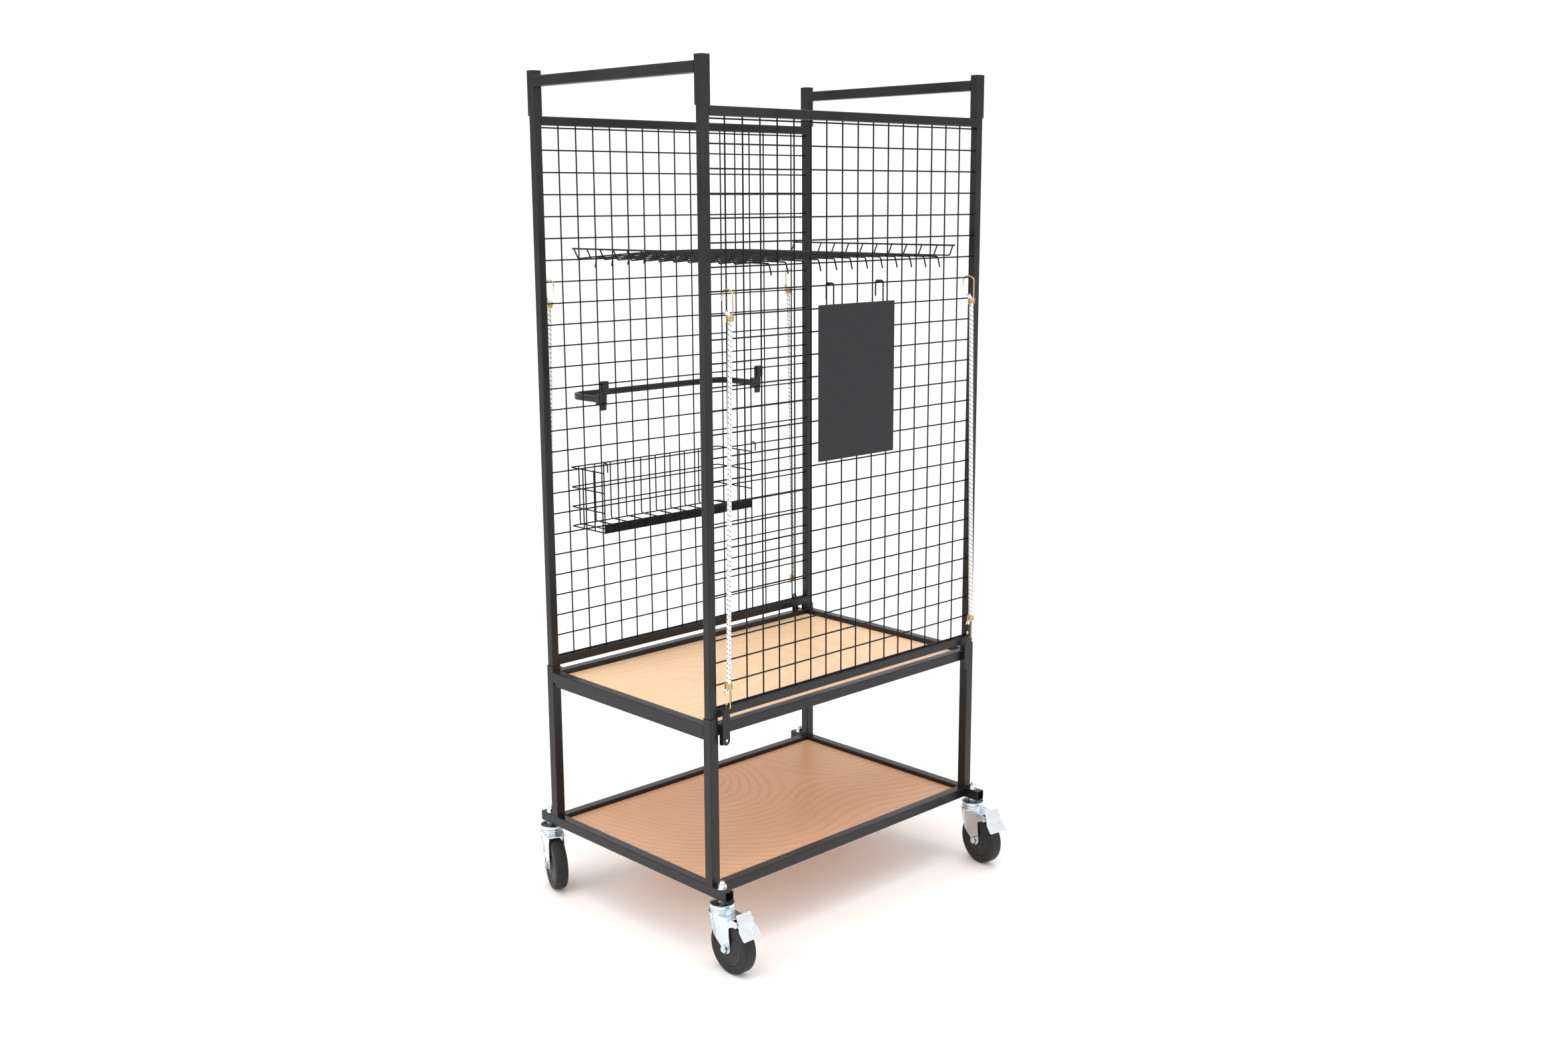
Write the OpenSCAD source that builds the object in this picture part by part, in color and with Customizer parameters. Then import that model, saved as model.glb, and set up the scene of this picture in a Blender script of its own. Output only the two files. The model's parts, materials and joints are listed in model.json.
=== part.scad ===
// Roll cage container: a two-tier tube base on four casters, with two lift-out
// mesh panels, end handles, a hook-in wire shelf and hang-on accessories.
// Origin: on the floor, in the middle of the frame. +X runs along the mesh
// panels, +Y towards the panel that carries the basket, +Z up.

/* [Frame] */
// Outer length of the frame along X
frame_l = 896; // [746:50:1096]
// Outer width of the frame along Y
frame_w = 600; // [500:10:700]
// Outer side of the square base and handle tubes
tube = 24; // [24:0.5:26]
// Wall of every square tube
tube_wall = 1.5; // [1.2:0.1:1.6]
// Length of the base posts
base_post_h = 387; // [340:1:420]
// Height of the socket mouths over the upper rails
socket_rise = 15; // [12:1:20]
// How far a lower end rail runs past the frame
rail_overhang = 43; // [40:1:50]
// Thickness of the upper board
board_t = 12; // [10:0.5:12]
// Thickness of the lower board
lower_board_t = 10; // [8:0.5:10]

/* [Mesh panels] */
// Cell size of the welded mesh
pitch = 50; // [50:1:52]
// Number of cells along X
cells_x = 17; // [15:2:19]
// Number of cells up the panel
cells_z = 25; // [23:1:26]
// Diameter of the mesh and shelf wires
wire_d = 3.5; // [3:0.1:4]
// Depth of the panel posts in their sockets
plug_depth = 60; // [40:1:90]

/* [Handles] */
// Height of the sleeves over the panel posts
sleeve_h = 100; // [90:1:110]
// Step from the sleeve top down to the crossbar
bar_drop = 12; // [8:1:20]

/* [Casters] */
// Height of the rails over the floor
rail_z = 161; // [161:1:166]
// Wheel diameter
wheel_d = 125; // [120:0.5:125]
// Wheel width
wheel_w = 32; // [28:0.5:32]
// Offset of the axle behind the stem
trail = 37; // [34:0.5:38]
// Diameter of the axle bolts
axle_d = 10; // [8:0.5:10]
// Diameter of the stem bolts
stem_d = 12; // [10:0.5:12]
// Turn of the front left caster
turn_fl = -2; // [-20:1:20]
// Turn of the front right caster
turn_fr = -11; // [-20:1:20]
// Turn of the back left caster
turn_bl = -22; // [-30:1:30]
// Turn of the back right caster
turn_br = 22; // [-30:1:30]

/* [Accessories] */
// Mesh wire, counted from the top, that carries the wire shelf
shelf_wire = 6; // [3:1:6]
// Mesh wire that carries the cords and the sign plate
cord_wire = 7; // [7:1:9]
// Mesh wire that carries the bag hoop
hoop_wire = 12; // [11:1:13]
// Mesh wire that carries the basket
basket_wire = 16; // [15:1:18]
// Width of the sign plate
sign_w = 248; // [200:1:280]
// Height of the sign plate
sign_h = 349; // [250:1:380]
// Width of the basket
basket_w = 495; // [470:5:500]
// Depth of the basket
basket_depth = 135; // [110:1:135]
// Reach of the bag hoop
hoop_reach = 136; // [110:1:140]
// Diameter of the elastic cords
cord_d = 10; // [8:0.5:10]

/* [Hidden] */
$fn = 48;

// Colours
black_coat = [0.16, 0.16, 0.17];
wire_black = [0.09, 0.09, 0.10];
beech = [0.90, 0.76, 0.58];
zinc = [0.78, 0.82, 0.86];
gold_zinc = [0.80, 0.68, 0.30];
rubber = [0.13, 0.13, 0.14];
cord_white = [0.93, 0.93, 0.90];

// Gaps
slide_gap = 0.5;     // between a post and its socket, on each side
seat_gap = 0.2;      // under a part that rests on another
bore_gap = 0.05;     // radial clearance of a turning fit
weld_bite = 0.3;     // overlap of two wires welded across each other

// Levels
lower_top = rail_z + tube;
socket_z = lower_top + base_post_h;
upper_top = socket_z - socket_rise;
upper_z = upper_top - tube;
post_tube = tube - 2 * tube_wall - 2 * slide_gap;
panel_z = socket_z + seat_gap;
wire_low_z = panel_z + post_tube + wire_d / 2 + 0.25;
wire_top_z = wire_low_z + cells_z * pitch;
top_rail_z = wire_top_z + 5;
top_rail_top = top_rail_z + post_tube;
sleeve_z = top_rail_top + seat_gap;
sleeve_cap = 2;
sleeve_top = sleeve_z + sleeve_h;
lower_board_top = lower_top - 10;

// Centre lines of the posts, and the mesh planes
post_x = (frame_l - tube) / 2;
post_y = (frame_w - tube) / 2;
inner_x = post_x - tube / 2;
inner_y = post_y - tube / 2;
mesh_half_x = post_x - post_tube / 2;
wire_step = (wire_d - weld_bite) / 2;
upright_y = post_y - wire_step;
level_y = post_y + wire_step;

// Caster heights, with distances behind the stem as s and heights as z
stem_y = frame_w / 2 + 19;
wheel_r = wheel_d / 2;
crown_z = wheel_d + 7;
crown_t = 3;
race_top = crown_z + 12.4;
cup_z = race_top + 0.6;
cup_top = cup_z + 9;
fork_half = wheel_w / 2 + 5;
fork_wall = 2.5;
pivot_s = trail + 30;
pivot_z = wheel_r + 64.5;
pin_d = 5;

// Heights of the mesh wires by number, counted from the top
function wire_z(n) = wire_top_z - n * pitch;

// Points of an arc in a plane
function arc(c, r, a0, a1, n) =
  [for (i = [0:n]) c + r * [cos(a0 + (a1 - a0) * i / n), sin(a0 + (a1 - a0) * i / n)]];

// Outline of a square with rounded corners
function round_square(a, b, r) = concat(
  arc([a / 2 - r, b / 2 - r], r, 0, 90, 4),
  arc([-a / 2 + r, b / 2 - r], r, 90, 180, 4),
  arc([-a / 2 + r, -b / 2 + r], r, 180, 270, 4),
  arc([a / 2 - r, -b / 2 + r], r, 270, 360, 4));

// Square tube standing on the origin
module tube_up(side, h) {
  corner = 2;
  difference() {
    linear_extrude(h) polygon(round_square(side, side, corner));
    translate([0, 0, -1]) linear_extrude(h + 2)
      polygon(round_square(side - 2 * tube_wall, side - 2 * tube_wall, corner - tube_wall + 0.3));
  }
}

// Square tubes lying along X and along Y, centred on the origin
module tube_x(side, length) {
  translate([-length / 2, 0, 0]) rotate([90, 0, 90]) tube_up(side, length);
}
module tube_y(side, length) {
  translate([0, length / 2, 0]) rotate([90, 0, 0]) tube_up(side, length);
}

// Mirrored copy on the other end or the other side
module flip(sx, sy) {
  mirror([sx < 0 ? 1 : 0, 0, 0]) mirror([0, sy < 0 ? 1 : 0, 0]) children();
}

// Straight round bar from p to q
module rod(p, q, d) {
  v = q - p;
  translate(p) rotate([0, acos(v.z / norm(v)), atan2(v.y, v.x)]) cylinder(h = norm(v), d = d);
}

// Unit vector, and the cut-back of a leg at a bend
function unit(v) = v / norm(v);
function cut_back(pts, i, r) = (i == 0 || i == len(pts) - 1) ? 0 :
  let (u = unit(pts[i] - pts[i - 1]), v = unit(pts[i + 1] - pts[i])) r * tan(acos(u * v) / 2);

// Round bar through a list of points, with bends of radius r
module bent_bar(pts, d, r) {
  for (i = [0:len(pts) - 2]) {
    u = unit(pts[i + 1] - pts[i]);
    rod(pts[i] + u * cut_back(pts, i, r), pts[i + 1] - u * cut_back(pts, i + 1, r), d);
  }
  for (i = [1:len(pts) - 2]) {
    u = unit(pts[i] - pts[i - 1]);
    v = unit(pts[i + 1] - pts[i]);
    w = unit(cross(u, v));
    n = cross(w, u);
    c = pts[i] - u * cut_back(pts, i, r) + n * r;
    multmatrix([[-n.x, u.x, w.x, c.x], [-n.y, u.y, w.y, c.y], [-n.z, u.z, w.z, c.z], [0, 0, 0, 1]])
      rotate_extrude(angle = acos(u * v)) translate([r, 0]) circle(d = d);
  }
}

// ---- Base ----

module base_post(sx, sy) {
  color(black_coat) translate([sx * post_x, sy * post_y, lower_top]) tube_up(tube, base_post_h);
}

module lower_end_rail(sx) {
  color(black_coat) difference() {
    translate([sx * post_x, 0, rail_z + tube / 2]) tube_y(tube, frame_w + 2 * rail_overhang);
    for (sy = [-1, 1]) translate([sx * post_x, sy * stem_y, rail_z - 1])
      cylinder(h = tube + 2, r = stem_d / 2 + bore_gap);
  }
}

module long_rail(sy, z) {
  color(black_coat) translate([0, sy * post_y, z + tube / 2]) tube_x(tube, 2 * inner_x);
}

module upper_end_rail(sx) {
  color(black_coat) translate([sx * post_x, 0, upper_z + tube / 2]) tube_y(tube, 2 * inner_y);
}

// Angles that carry the boards at both ends of each tier
module board_ledges() {
  leg = 3;
  shelf_reach = 45;
  drop = 11;
  lower_reach = 20;
  length = 2 * inner_y - 2;
  color(black_coat) for (sx = [-1, 1]) flip(sx, 1) {
    // upper angle, under the end rail and the board
    translate([post_x + tube / 2 - 3 - shelf_reach, -length / 2, upper_z - leg])
      cube([shelf_reach, length, leg]);
    translate([post_x + tube / 2 - 3 - leg, -length / 2, upper_z - drop])
      cube([leg, length, drop]);
    // lower strip, on the inner side of the end rail
    translate([inner_x - lower_reach, -length / 2, lower_board_top - lower_board_t - leg])
      cube([lower_reach, length, leg]);
  }
}

module board(top, t) {
  edge_gap = 1;
  a = 2 * (inner_x - edge_gap);
  b = 2 * (inner_y - edge_gap);
  color(beech) translate([-a / 2, -b / 2, top - t]) cube([a, b, t]);
}

// Bent bracket on the side of a rail, drawn for the front: a plate with a round
// foot and a hole, a tongue that holds a cord hook, and a flange to the rail
bracket_x = 411;
bracket_w = 21;
bracket_off = 12;
bracket_t = 2;
bracket_hole_r = 3.5;
bracket_hole_z = upper_z - 13;
tongue_z = panel_z + post_tube;
tongue_x = 3;

module cord_bracket() {
  half = bracket_w / 2;
  translate([0, -bracket_off + bracket_t, 0]) rotate([90, 0, 0]) difference() {
    linear_extrude(bracket_t) polygon(concat(
      arc([0, bracket_hole_z], half, 180, 360, 16),
      [[half, tongue_z - 7], [tongue_x + 4.5, tongue_z + 5], [tongue_x - 1, tongue_z + 10],
      [tongue_x - 4.5, tongue_z + 9], [-half, tongue_z - 18]]));
    translate([2, bracket_hole_z, -1]) cylinder(h = bracket_t + 2, r = bracket_hole_r);
    translate([tongue_x, tongue_z, -1]) cylinder(h = bracket_t + 2, d = 6);
  }
  translate([-half, -bracket_off + bracket_t - 0.5, bracket_hole_z - 9])
    cube([bracket_t, bracket_off - bracket_t + 0.5, upper_top - bracket_hole_z + 9]);
}

// Places on the four rails: the back pair is turned to face the other way
module at_brackets() {
  for (sx = [-1, 1], sy = [-1, 1])
    translate([sx * bracket_x, sy * frame_w / 2, 0]) rotate([0, 0, sy > 0 ? 180 : 0]) children();
}

module cord_brackets() {
  color(black_coat) at_brackets() cord_bracket();
}

// ---- Caster parts fixed to the base ----

module at_stems() {
  for (sx = [-1, 1], sy = [-1, 1]) translate([sx * post_x, sy * stem_y, 0]) children();
}

module caster_stems() {
  head_h = 3;
  color(zinc) at_stems() {
    translate([0, 0, crown_z - 0.5 - head_h]) cylinder(h = head_h, d = 20);
    translate([0, 0, crown_z - 1]) cylinder(h = lower_top + 17 - crown_z, d = stem_d);
  }
}

module stem_nuts() {
  color(zinc) at_stems() translate([0, 0, lower_top]) difference() {
    union() {
      cylinder(h = 2, d = 22);
      cylinder(h = 11, d = 20.8, $fn = 6);
    }
    translate([0, 0, -1]) cylinder(h = 14, r = stem_d / 2 + bore_gap);
  }
}

module caster_raceways() {
  cup_d = 57;
  color(zinc) at_stems() difference() {
    union() {
      difference() {
        translate([0, 0, cup_z]) cylinder(h = cup_top - cup_z, d = cup_d);
        translate([0, 0, cup_z + 3]) cylinder(h = cup_top - cup_z, d = cup_d - 5);
      }
      translate([0, 0, cup_z + 2]) cylinder(h = rail_z - cup_z - 2, d = 26, $fn = 6);
    }
    translate([0, 0, cup_z - 1]) cylinder(h = rail_z, r = stem_d / 2 + bore_gap);
  }
}

// ---- Casters ----

// Side outline of a fork leg: crown, leading edge, axle eye and brake arm
function leg_outline(arm) = concat(
  [[-21, crown_z + crown_t], [-20, crown_z - 2], [-7, crown_z - 38], [-1, wheel_r + 15]],
  arc([trail, wheel_r], 12, 205, 365, 14),
  [[trail + 9, wheel_r + 44]],
  arm ? concat(
    [[trail + 13, wheel_r + 53], [trail + 20, wheel_r + 57]],
    arc([pivot_s, pivot_z], 7.5, 250, 440, 10),
    [[trail + 22, crown_z + crown_t]])
  : [[trail + 12, crown_z + crown_t]]);

// Plan outline of the fork shell: two legs joined by a round front
function shell_plan(half, front) = concat(
  arc([0, -front + half], half, 0, -180, 18), [[-half, 110], [half, 110]]);

// Side outline (distance behind the stem, height) as a slab of the given width
module side_on(width) {
  translate([width / 2, 0, 0]) rotate([90, 0, -90]) linear_extrude(width) children();
}

module fork(arm) {
  race_d = 54;
  crown_reach = arm ? 19 : 11;
  difference() {
    union() {
      intersection() {
        rotate([0, 0, 180]) translate([0, 0, 20]) linear_extrude(crown_z + crown_t - 20) difference() {
          polygon(shell_plan(fork_half, 21));
          polygon(shell_plan(fork_half - fork_wall, 21 - fork_wall));
        }
        side_on(80) polygon(leg_outline(arm));
      }
      translate([-fork_half + 1, -trail - crown_reach, crown_z])
        cube([2 * fork_half - 2, trail + crown_reach, crown_t]);
      translate([0, 0, crown_z]) cylinder(h = crown_t, d = 2 * fork_half - 1);
      translate([0, 0, crown_z + crown_t - 0.5]) cylinder(h = race_top - crown_z - crown_t - 3.5, d = race_d - 5);
      translate([0, 0, race_top - 5]) cylinder(h = 5, d = race_d);
    }
    translate([0, 0, crown_z - 1]) cylinder(h = 30, r = stem_d / 2 + bore_gap);
    translate([-40, -trail, wheel_r]) rotate([0, 90, 0]) cylinder(h = 80, r = axle_d / 2 + bore_gap);
    if (arm) translate([-40, -pivot_s, pivot_z]) rotate([0, 90, 0])
      cylinder(h = 80, r = pin_d / 2 + bore_gap);
  }
}

// Axle bolt with a plain head, and a nut on the outer side
module axle() {
  reach = fork_half + 0.2;
  translate([0, -trail, wheel_r]) rotate([0, 90, 0]) {
    translate([0, 0, -reach - 12]) cylinder(h = 2 * reach + 13, d = axle_d);
    translate([0, 0, reach]) cylinder(h = 5, d = 17, $fn = 6);
  }
  translate([0, -trail, wheel_r]) rotate([0, -90, 0]) translate([0, 0, reach]) difference() {
    union() {
      cylinder(h = 1.5, d = 19);
      cylinder(h = 9, d = 16.5, $fn = 6);
    }
    translate([0, 0, -1]) cylinder(h = 12, r = axle_d / 2 + bore_gap);
  }
}

hub_r = 43;
module tyre() {
  edge = 6;
  face = wheel_w / 2;
  translate([0, -trail, wheel_r]) rotate([0, 90, 0]) rotate_extrude() polygon(concat(
    [[hub_r + 0.05, -face + 1.2], [hub_r + 1.2, -face]],
    arc([wheel_r - edge, -face + edge], edge, 270, 360, 6),
    arc([wheel_r - edge, face - edge], edge, 0, 90, 6),
    [[hub_r + 1.2, face], [hub_r + 0.05, face - 1.2]]));
}

module hub() {
  face = wheel_w / 2;
  boss = fork_half - fork_wall - 0.4;
  translate([0, -trail, wheel_r]) rotate([0, 90, 0]) rotate_extrude() polygon([
    [axle_d / 2 + bore_gap, -boss], [14, -boss], [17, -face + 0.5], [hub_r - 1.2, -face + 0.5],
    [hub_r, -face + 1.7], [hub_r, face - 1.7], [hub_r - 1.2, face - 0.5], [17, face - 0.5],
    [14, boss], [axle_d / 2 + bore_gap, boss]]);
}

// Bent pedal plate behind the wheel, flared at the foot, with two ears and a pin
// through the fork arms
module brake_pedal() {
  head = [pivot_s + 5.5, pivot_z + 24.5];
  fold = [pivot_s + 15, pivot_z];
  toe = [pivot_s + 38, pivot_z - 26];
  t = 2.4;
  half_head = 21.5;
  half_toe = 27;
  ear_half = fork_half - fork_wall - 0.6;
  ear_t = 2;
  color(zinc) {
    intersection() {
      side_on(2 * half_toe) polygon([head, head + [t, 0.8], fold + [t, 0.6], toe + [t, 1.2], toe, fold]);
      translate([0, -pivot_s + 20, 0]) rotate([90, 0, 0]) linear_extrude(80) polygon([
        [-half_head, head.y + t], [half_head, head.y + t], [half_head, fold.y - 4],
        [half_toe, toe.y + 6], [half_toe - 5, toe.y - 2], [-half_toe + 5, toe.y - 2],
        [-half_toe, toe.y + 6], [-half_head, fold.y - 4]]);
    }
    for (sx = [-1, 1]) translate([sx * (ear_half - ear_t / 2), 0, 0]) side_on(ear_t) polygon(concat(
      [fold + [1, -7], fold + [1, 0], fold + [-6, 10]], arc([pivot_s, pivot_z], 5.5, 120, 280, 8)));
    translate([-fork_half - 1.5, -pivot_s, pivot_z]) rotate([0, 90, 0])
      cylinder(h = 2 * fork_half + 3, d = pin_d);
  }
}

module at_caster(sx, sy, turn) {
  translate([sx * post_x, sy * stem_y, 0]) rotate([0, 0, turn]) children();
}

// ---- Mesh panels ----

module panel_posts(sy) {
  low = socket_z - plug_depth;
  high = sleeve_top - sleeve_cap - 1;
  color(black_coat) for (sx = [-1, 1])
    translate([sx * post_x, sy * post_y, low]) tube_up(post_tube, high - low);
}

module panel_rails(sy) {
  color(black_coat) for (z = [panel_z, top_rail_z])
    translate([0, sy * post_y, z + post_tube / 2]) tube_x(post_tube, 2 * mesh_half_x);
}

module vertical_wires(sy) {
  color(wire_black) for (i = [1:cells_x - 1])
    translate([(i - cells_x / 2) * pitch, sy * upright_y, panel_z + post_tube])
      cylinder(h = top_rail_z - panel_z - post_tube, d = wire_d);
}

module horizontal_wires(sy) {
  color(wire_black) for (n = [0:cells_z])
    translate([-mesh_half_x, sy * level_y, wire_z(n)]) rotate([0, 90, 0])
      cylinder(h = 2 * mesh_half_x, d = wire_d);
}

// ---- Handles ----

module handle_sleeves(sx) {
  color(black_coat) for (sy = [-1, 1]) translate([sx * post_x, sy * post_y, sleeve_z]) {
    tube_up(tube, sleeve_h - sleeve_cap);
    translate([0, 0, sleeve_h - sleeve_cap]) linear_extrude(sleeve_cap)
      polygon(round_square(tube, tube, 2));
  }
}

module handle_bar(sx) {
  color(black_coat) translate([sx * post_x, 0, sleeve_top - bar_drop - tube / 2])
    tube_y(tube, 2 * inner_y);
}

// ---- Wire shelf ----

shelf_z = wire_z(shelf_wire) + wire_d + 0.15;
shelf_cols = 6;
shelf_rows = 6;
shelf_x = 12;
shelf_half_x = 350;
shelf_bend_r = 5;
// Bent ends of the shelf wires: their run outwards and up or down, in the ratio 7 to 24
lip_out = 7.28;
lip_rise = 24.96;

module shelf_cross_wires() {
  bend_y = post_y + 11;
  color(wire_black) for (i = [-shelf_cols:shelf_cols - 1]) translate([shelf_x + (i + 0.5) * pitch, 0, 0])
    bent_bar([[0, -bend_y - lip_out, shelf_z - lip_rise], [0, -bend_y, shelf_z],
      [0, bend_y, shelf_z], [0, bend_y + lip_out, shelf_z - lip_rise]], wire_d, shelf_bend_r);
}

module shelf_long_wires() {
  z = shelf_z + wire_d - weld_bite;
  half = shelf_half_x;
  row_step = 49.5;
  rim_d = wire_d + 0.5;
  color(wire_black) translate([shelf_x, 0, 0]) {
    for (j = [-shelf_rows:shelf_rows - 1]) {
      y = (j + 0.5) * row_step;
      bent_bar([[-half - lip_out, y, z + lip_rise], [-half, y, z], [half, y, z],
        [half + lip_out, y, z + lip_rise]], wire_d, shelf_bend_r);
    }
    for (sx = [-1, 1]) translate([sx * (half + lip_out), 0, z + lip_rise]) rotate([90, 0, 0])
      cylinder(h = (2 * shelf_rows - 1) * row_step + 12, d = rim_d, center = true);
  }
}

// ---- Basket on the back panel ----

basket_y = frame_w / 2 - 3;
basket_x = -13;
basket_top = wire_z(basket_wire) - 22;
basket_step = 50;
hook_in = post_y - 6.5;
hook_rise = wire_d + 0.6;

module basket_frame() {
  half = basket_w / 2;
  far = basket_y + basket_depth;
  color(wire_black) {
    for (k = [0:3]) {
      z = basket_top - k * basket_step;
      bent_bar([[basket_x - half, basket_y, z], [basket_x - half, far, z],
        [basket_x + half, far, z], [basket_x + half, basket_y, z]], wire_d, 6);
    }
    for (sx = [-1, 1]) {
      x = basket_x + sx * half;
      bent_bar([[x, basket_y, basket_top - 3 * basket_step], [x, basket_y, wire_z(basket_wire) + hook_rise],
        [x, hook_in, wire_z(basket_wire) + hook_rise], [x, hook_in, wire_z(basket_wire) - 18]], wire_d, 5);
    }
    translate([basket_x - half, basket_y - 1, basket_top - 3 * basket_step - 1.5])
      cube([basket_w, 2.5, 20]);
  }
}

module basket_uprights() {
  far = basket_y + basket_depth - wire_d + weld_bite;
  low = basket_top - 3 * basket_step + wire_d - weld_bite;
  color(wire_black) {
    for (i = [0:9]) {
      x = basket_x + (i - 4.5) * pitch;
      bent_bar([[x, far, basket_top + 2], [x, far, low], [x, basket_y + 1.4, low]], wire_d, 5);
    }
    // two uprights on each end
    for (sx = [-1, 1], k = [1, 2])
      translate([basket_x + sx * (basket_w / 2 - wire_d + weld_bite), basket_y + k * basket_depth / 3,
        basket_top - 3 * basket_step - 1]) cylinder(h = 3 * basket_step + 3, d = wire_d);
  }
}

// ---- Bag hoop on the back panel ----

hoop_z = wire_z(hoop_wire) - 41;
hoop_half = 257;
hoop_h = 16;
hoop_t = 8;
hoop_bend = 40;
hoop_root = frame_w / 2 + 2;

module hoop_section() {
  polygon(round_square(hoop_t, hoop_h, 3));
}

module bag_hoop() {
  far = frame_w / 2 - 3 + hoop_reach;
  leg = far - hoop_bend - hoop_root;
  color(black_coat) translate([0, 0, hoop_z]) {
    for (sx = [-1, 1]) {
      translate([sx * hoop_half, far - hoop_bend, 0]) rotate([90, 0, 0]) linear_extrude(leg) hoop_section();
      translate([sx * (hoop_half - hoop_bend), far - hoop_bend, 0])
        rotate([0, 0, sx > 0 ? 0 : 90]) rotate_extrude(angle = 90)
          translate([hoop_bend, 0]) hoop_section();
    }
    translate([-hoop_half + hoop_bend, far, 0]) rotate([90, 0, 90])
      linear_extrude(2 * (hoop_half - hoop_bend)) hoop_section();
  }
}

module hoop_clips() {
  w = 17;
  boss = 16;
  wire_y = level_y;
  top = wire_z(hoop_wire) + 6;
  slot = wire_d / 2 + 0.4;
  color(wire_black) for (sx = [-1, 1]) translate([sx * hoop_half, 0, 0]) difference() {
    union() {
      // back plate, over the wire and down behind it
      translate([-w / 2, 0, 0]) rotate([90, 0, 90]) linear_extrude(w) polygon([
        [wire_y + slot, top - 38], [wire_y + slot + 3, top - 72], [wire_y + slot + 7, top - 72],
        [wire_y + slot + 7, top - 3], [wire_y + slot + 4, top], [wire_y - slot - 3, top],
        [wire_y - slot - 4.2, top - 2], [wire_y - slot - 4.2, top - 26], [wire_y - slot - 2, top - 29],
        [wire_y - slot, top - 26], [wire_y - slot, wire_z(hoop_wire) + slot],
        [wire_y + slot, wire_z(hoop_wire) + slot]]);
      translate([-boss / 2, wire_y + slot + 5, hoop_z - 13]) cube([boss, 20, 26]);
    }
    translate([-hoop_t / 2 - 0.1, hoop_root - 0.1, hoop_z - hoop_h / 2 - 0.1])
      cube([hoop_t + 0.2, 60, hoop_h + 0.2]);
  }
}

// ---- Sign plate on the front panel ----

sign_y = -frame_w / 2 - 8;
sign_x = 2;
sign_top = wire_z(cord_wire) - 41;
sign_hook_x = [-71, 91];
sign_t = 3;

module sign_plate() {
  color(wire_black) translate([sign_x, sign_y + sign_t / 2, sign_top - sign_h / 2]) rotate([90, 0, 0])
    linear_extrude(sign_t) polygon(round_square(sign_w, sign_h, 3));
}

module sign_hooks() {
  over = wire_z(cord_wire) + hook_rise;
  behind = sign_y + (sign_t + wire_d) / 2 + 0.05;
  color(wire_black) for (x = sign_hook_x)
    bent_bar([[x, -hook_in, over - 35], [x, -hook_in, over], [x, behind, over],
      [x, behind, sign_top - 25]], wire_d, 3.4);
}

// ---- Elastic cords ----

cord_out = 17;
cord_top = [393, frame_w / 2 + cord_out, wire_z(cord_wire) - 64];
cord_low_z = tongue_z + 63;
ferrule_h = 20;
ferrule_d = 17;
cord_wire_d = 4;

module elastic_cords() {
  inside = [0, 0, ferrule_h - 3];
  color(cord_white) for (sx = [-1, 1], sy = [-1, 1]) {
    low = [sx * bracket_x - sy * tongue_x, sy * (frame_w / 2 + cord_out), cord_low_z];
    top = [sx * cord_top.x, sy * cord_top.y, cord_top.z];
    rod(low - inside, top + inside, cord_d);
  }
}

module ferrule() {
  difference() {
    cylinder(h = ferrule_h, d = ferrule_d);
    translate([0, 0, -1]) cylinder(h = ferrule_h - 1, d = cord_d + 1.6);
  }
}

module upper_cord_hooks() {
  over = wire_z(cord_wire) + wire_d / 2 + cord_wire_d / 2 + 0.3;
  end_y = hook_in - 1;
  color(gold_zinc) for (sx = [-1, 1], sy = [-1, 1]) flip(sx, sy) {
    translate(cord_top) ferrule();
    bent_bar([cord_top + [0, 0, ferrule_h - 1], [cord_top.x, cord_top.y, over],
      [cord_top.x, end_y, over], [cord_top.x, end_y, over - 22]], cord_wire_d, 5);
  }
}

module lower_cord_hooks() {
  color(gold_zinc) at_brackets() translate([tongue_x, 0, 0]) {
    translate([0, -cord_out, cord_low_z]) mirror([0, 0, 1]) ferrule();
    bent_bar([[0, -cord_out, cord_low_z - ferrule_h + 1], [0, -cord_out, tongue_z],
      [0, -5, tongue_z], [0, -5, tongue_z + 9]], cord_wire_d, 4);
  }
}

base_post(-1, -1);  // base_post_front_left
base_post(1, -1);  // base_post_front_right
base_post(-1, 1);  // base_post_back_left
base_post(1, 1);  // base_post_back_right
lower_end_rail(-1);  // lower_end_rail_left
lower_end_rail(1);  // lower_end_rail_right
long_rail(-1, rail_z);  // lower_front_rail
long_rail(1, rail_z);  // lower_back_rail
upper_end_rail(-1);  // upper_end_rail_left
upper_end_rail(1);  // upper_end_rail_right
long_rail(-1, upper_z);  // upper_front_rail
long_rail(1, upper_z);  // upper_back_rail
board_ledges();
board(upper_z + board_t, board_t);  // upper_board
board(lower_board_top, lower_board_t);  // lower_board
cord_brackets();
caster_stems();
stem_nuts();
caster_raceways();
lower_cord_hooks();
panel_posts(-1);  // front_panel_posts
panel_posts(1);  // back_panel_posts
panel_rails(-1);  // front_panel_rails
panel_rails(1);  // back_panel_rails
vertical_wires(-1);  // front_vertical_wires
horizontal_wires(-1);  // front_horizontal_wires
vertical_wires(1);  // back_vertical_wires
horizontal_wires(1);  // back_horizontal_wires
upper_cord_hooks();
elastic_cords();
handle_sleeves(-1);  // left_handle_sleeves
handle_bar(-1);  // left_handle_bar
handle_sleeves(1);  // right_handle_sleeves
handle_bar(1);  // right_handle_bar
shelf_long_wires();
shelf_cross_wires();
basket_frame();
basket_uprights();
bag_hoop();
hoop_clips();
sign_plate();
sign_hooks();
color(zinc) at_caster(-1, -1, turn_fl) fork(true);  // fork_front_left
color(zinc) at_caster(-1, -1, turn_fl) axle();  // axle_front_left
color(rubber) at_caster(-1, -1, turn_fl) tyre();  // tyre_front_left
color(rubber) at_caster(-1, -1, turn_fl) hub();  // hub_front_left
color(zinc) at_caster(1, -1, turn_fr) fork(true);  // fork_front_right
color(zinc) at_caster(1, -1, turn_fr) axle();  // axle_front_right
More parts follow.
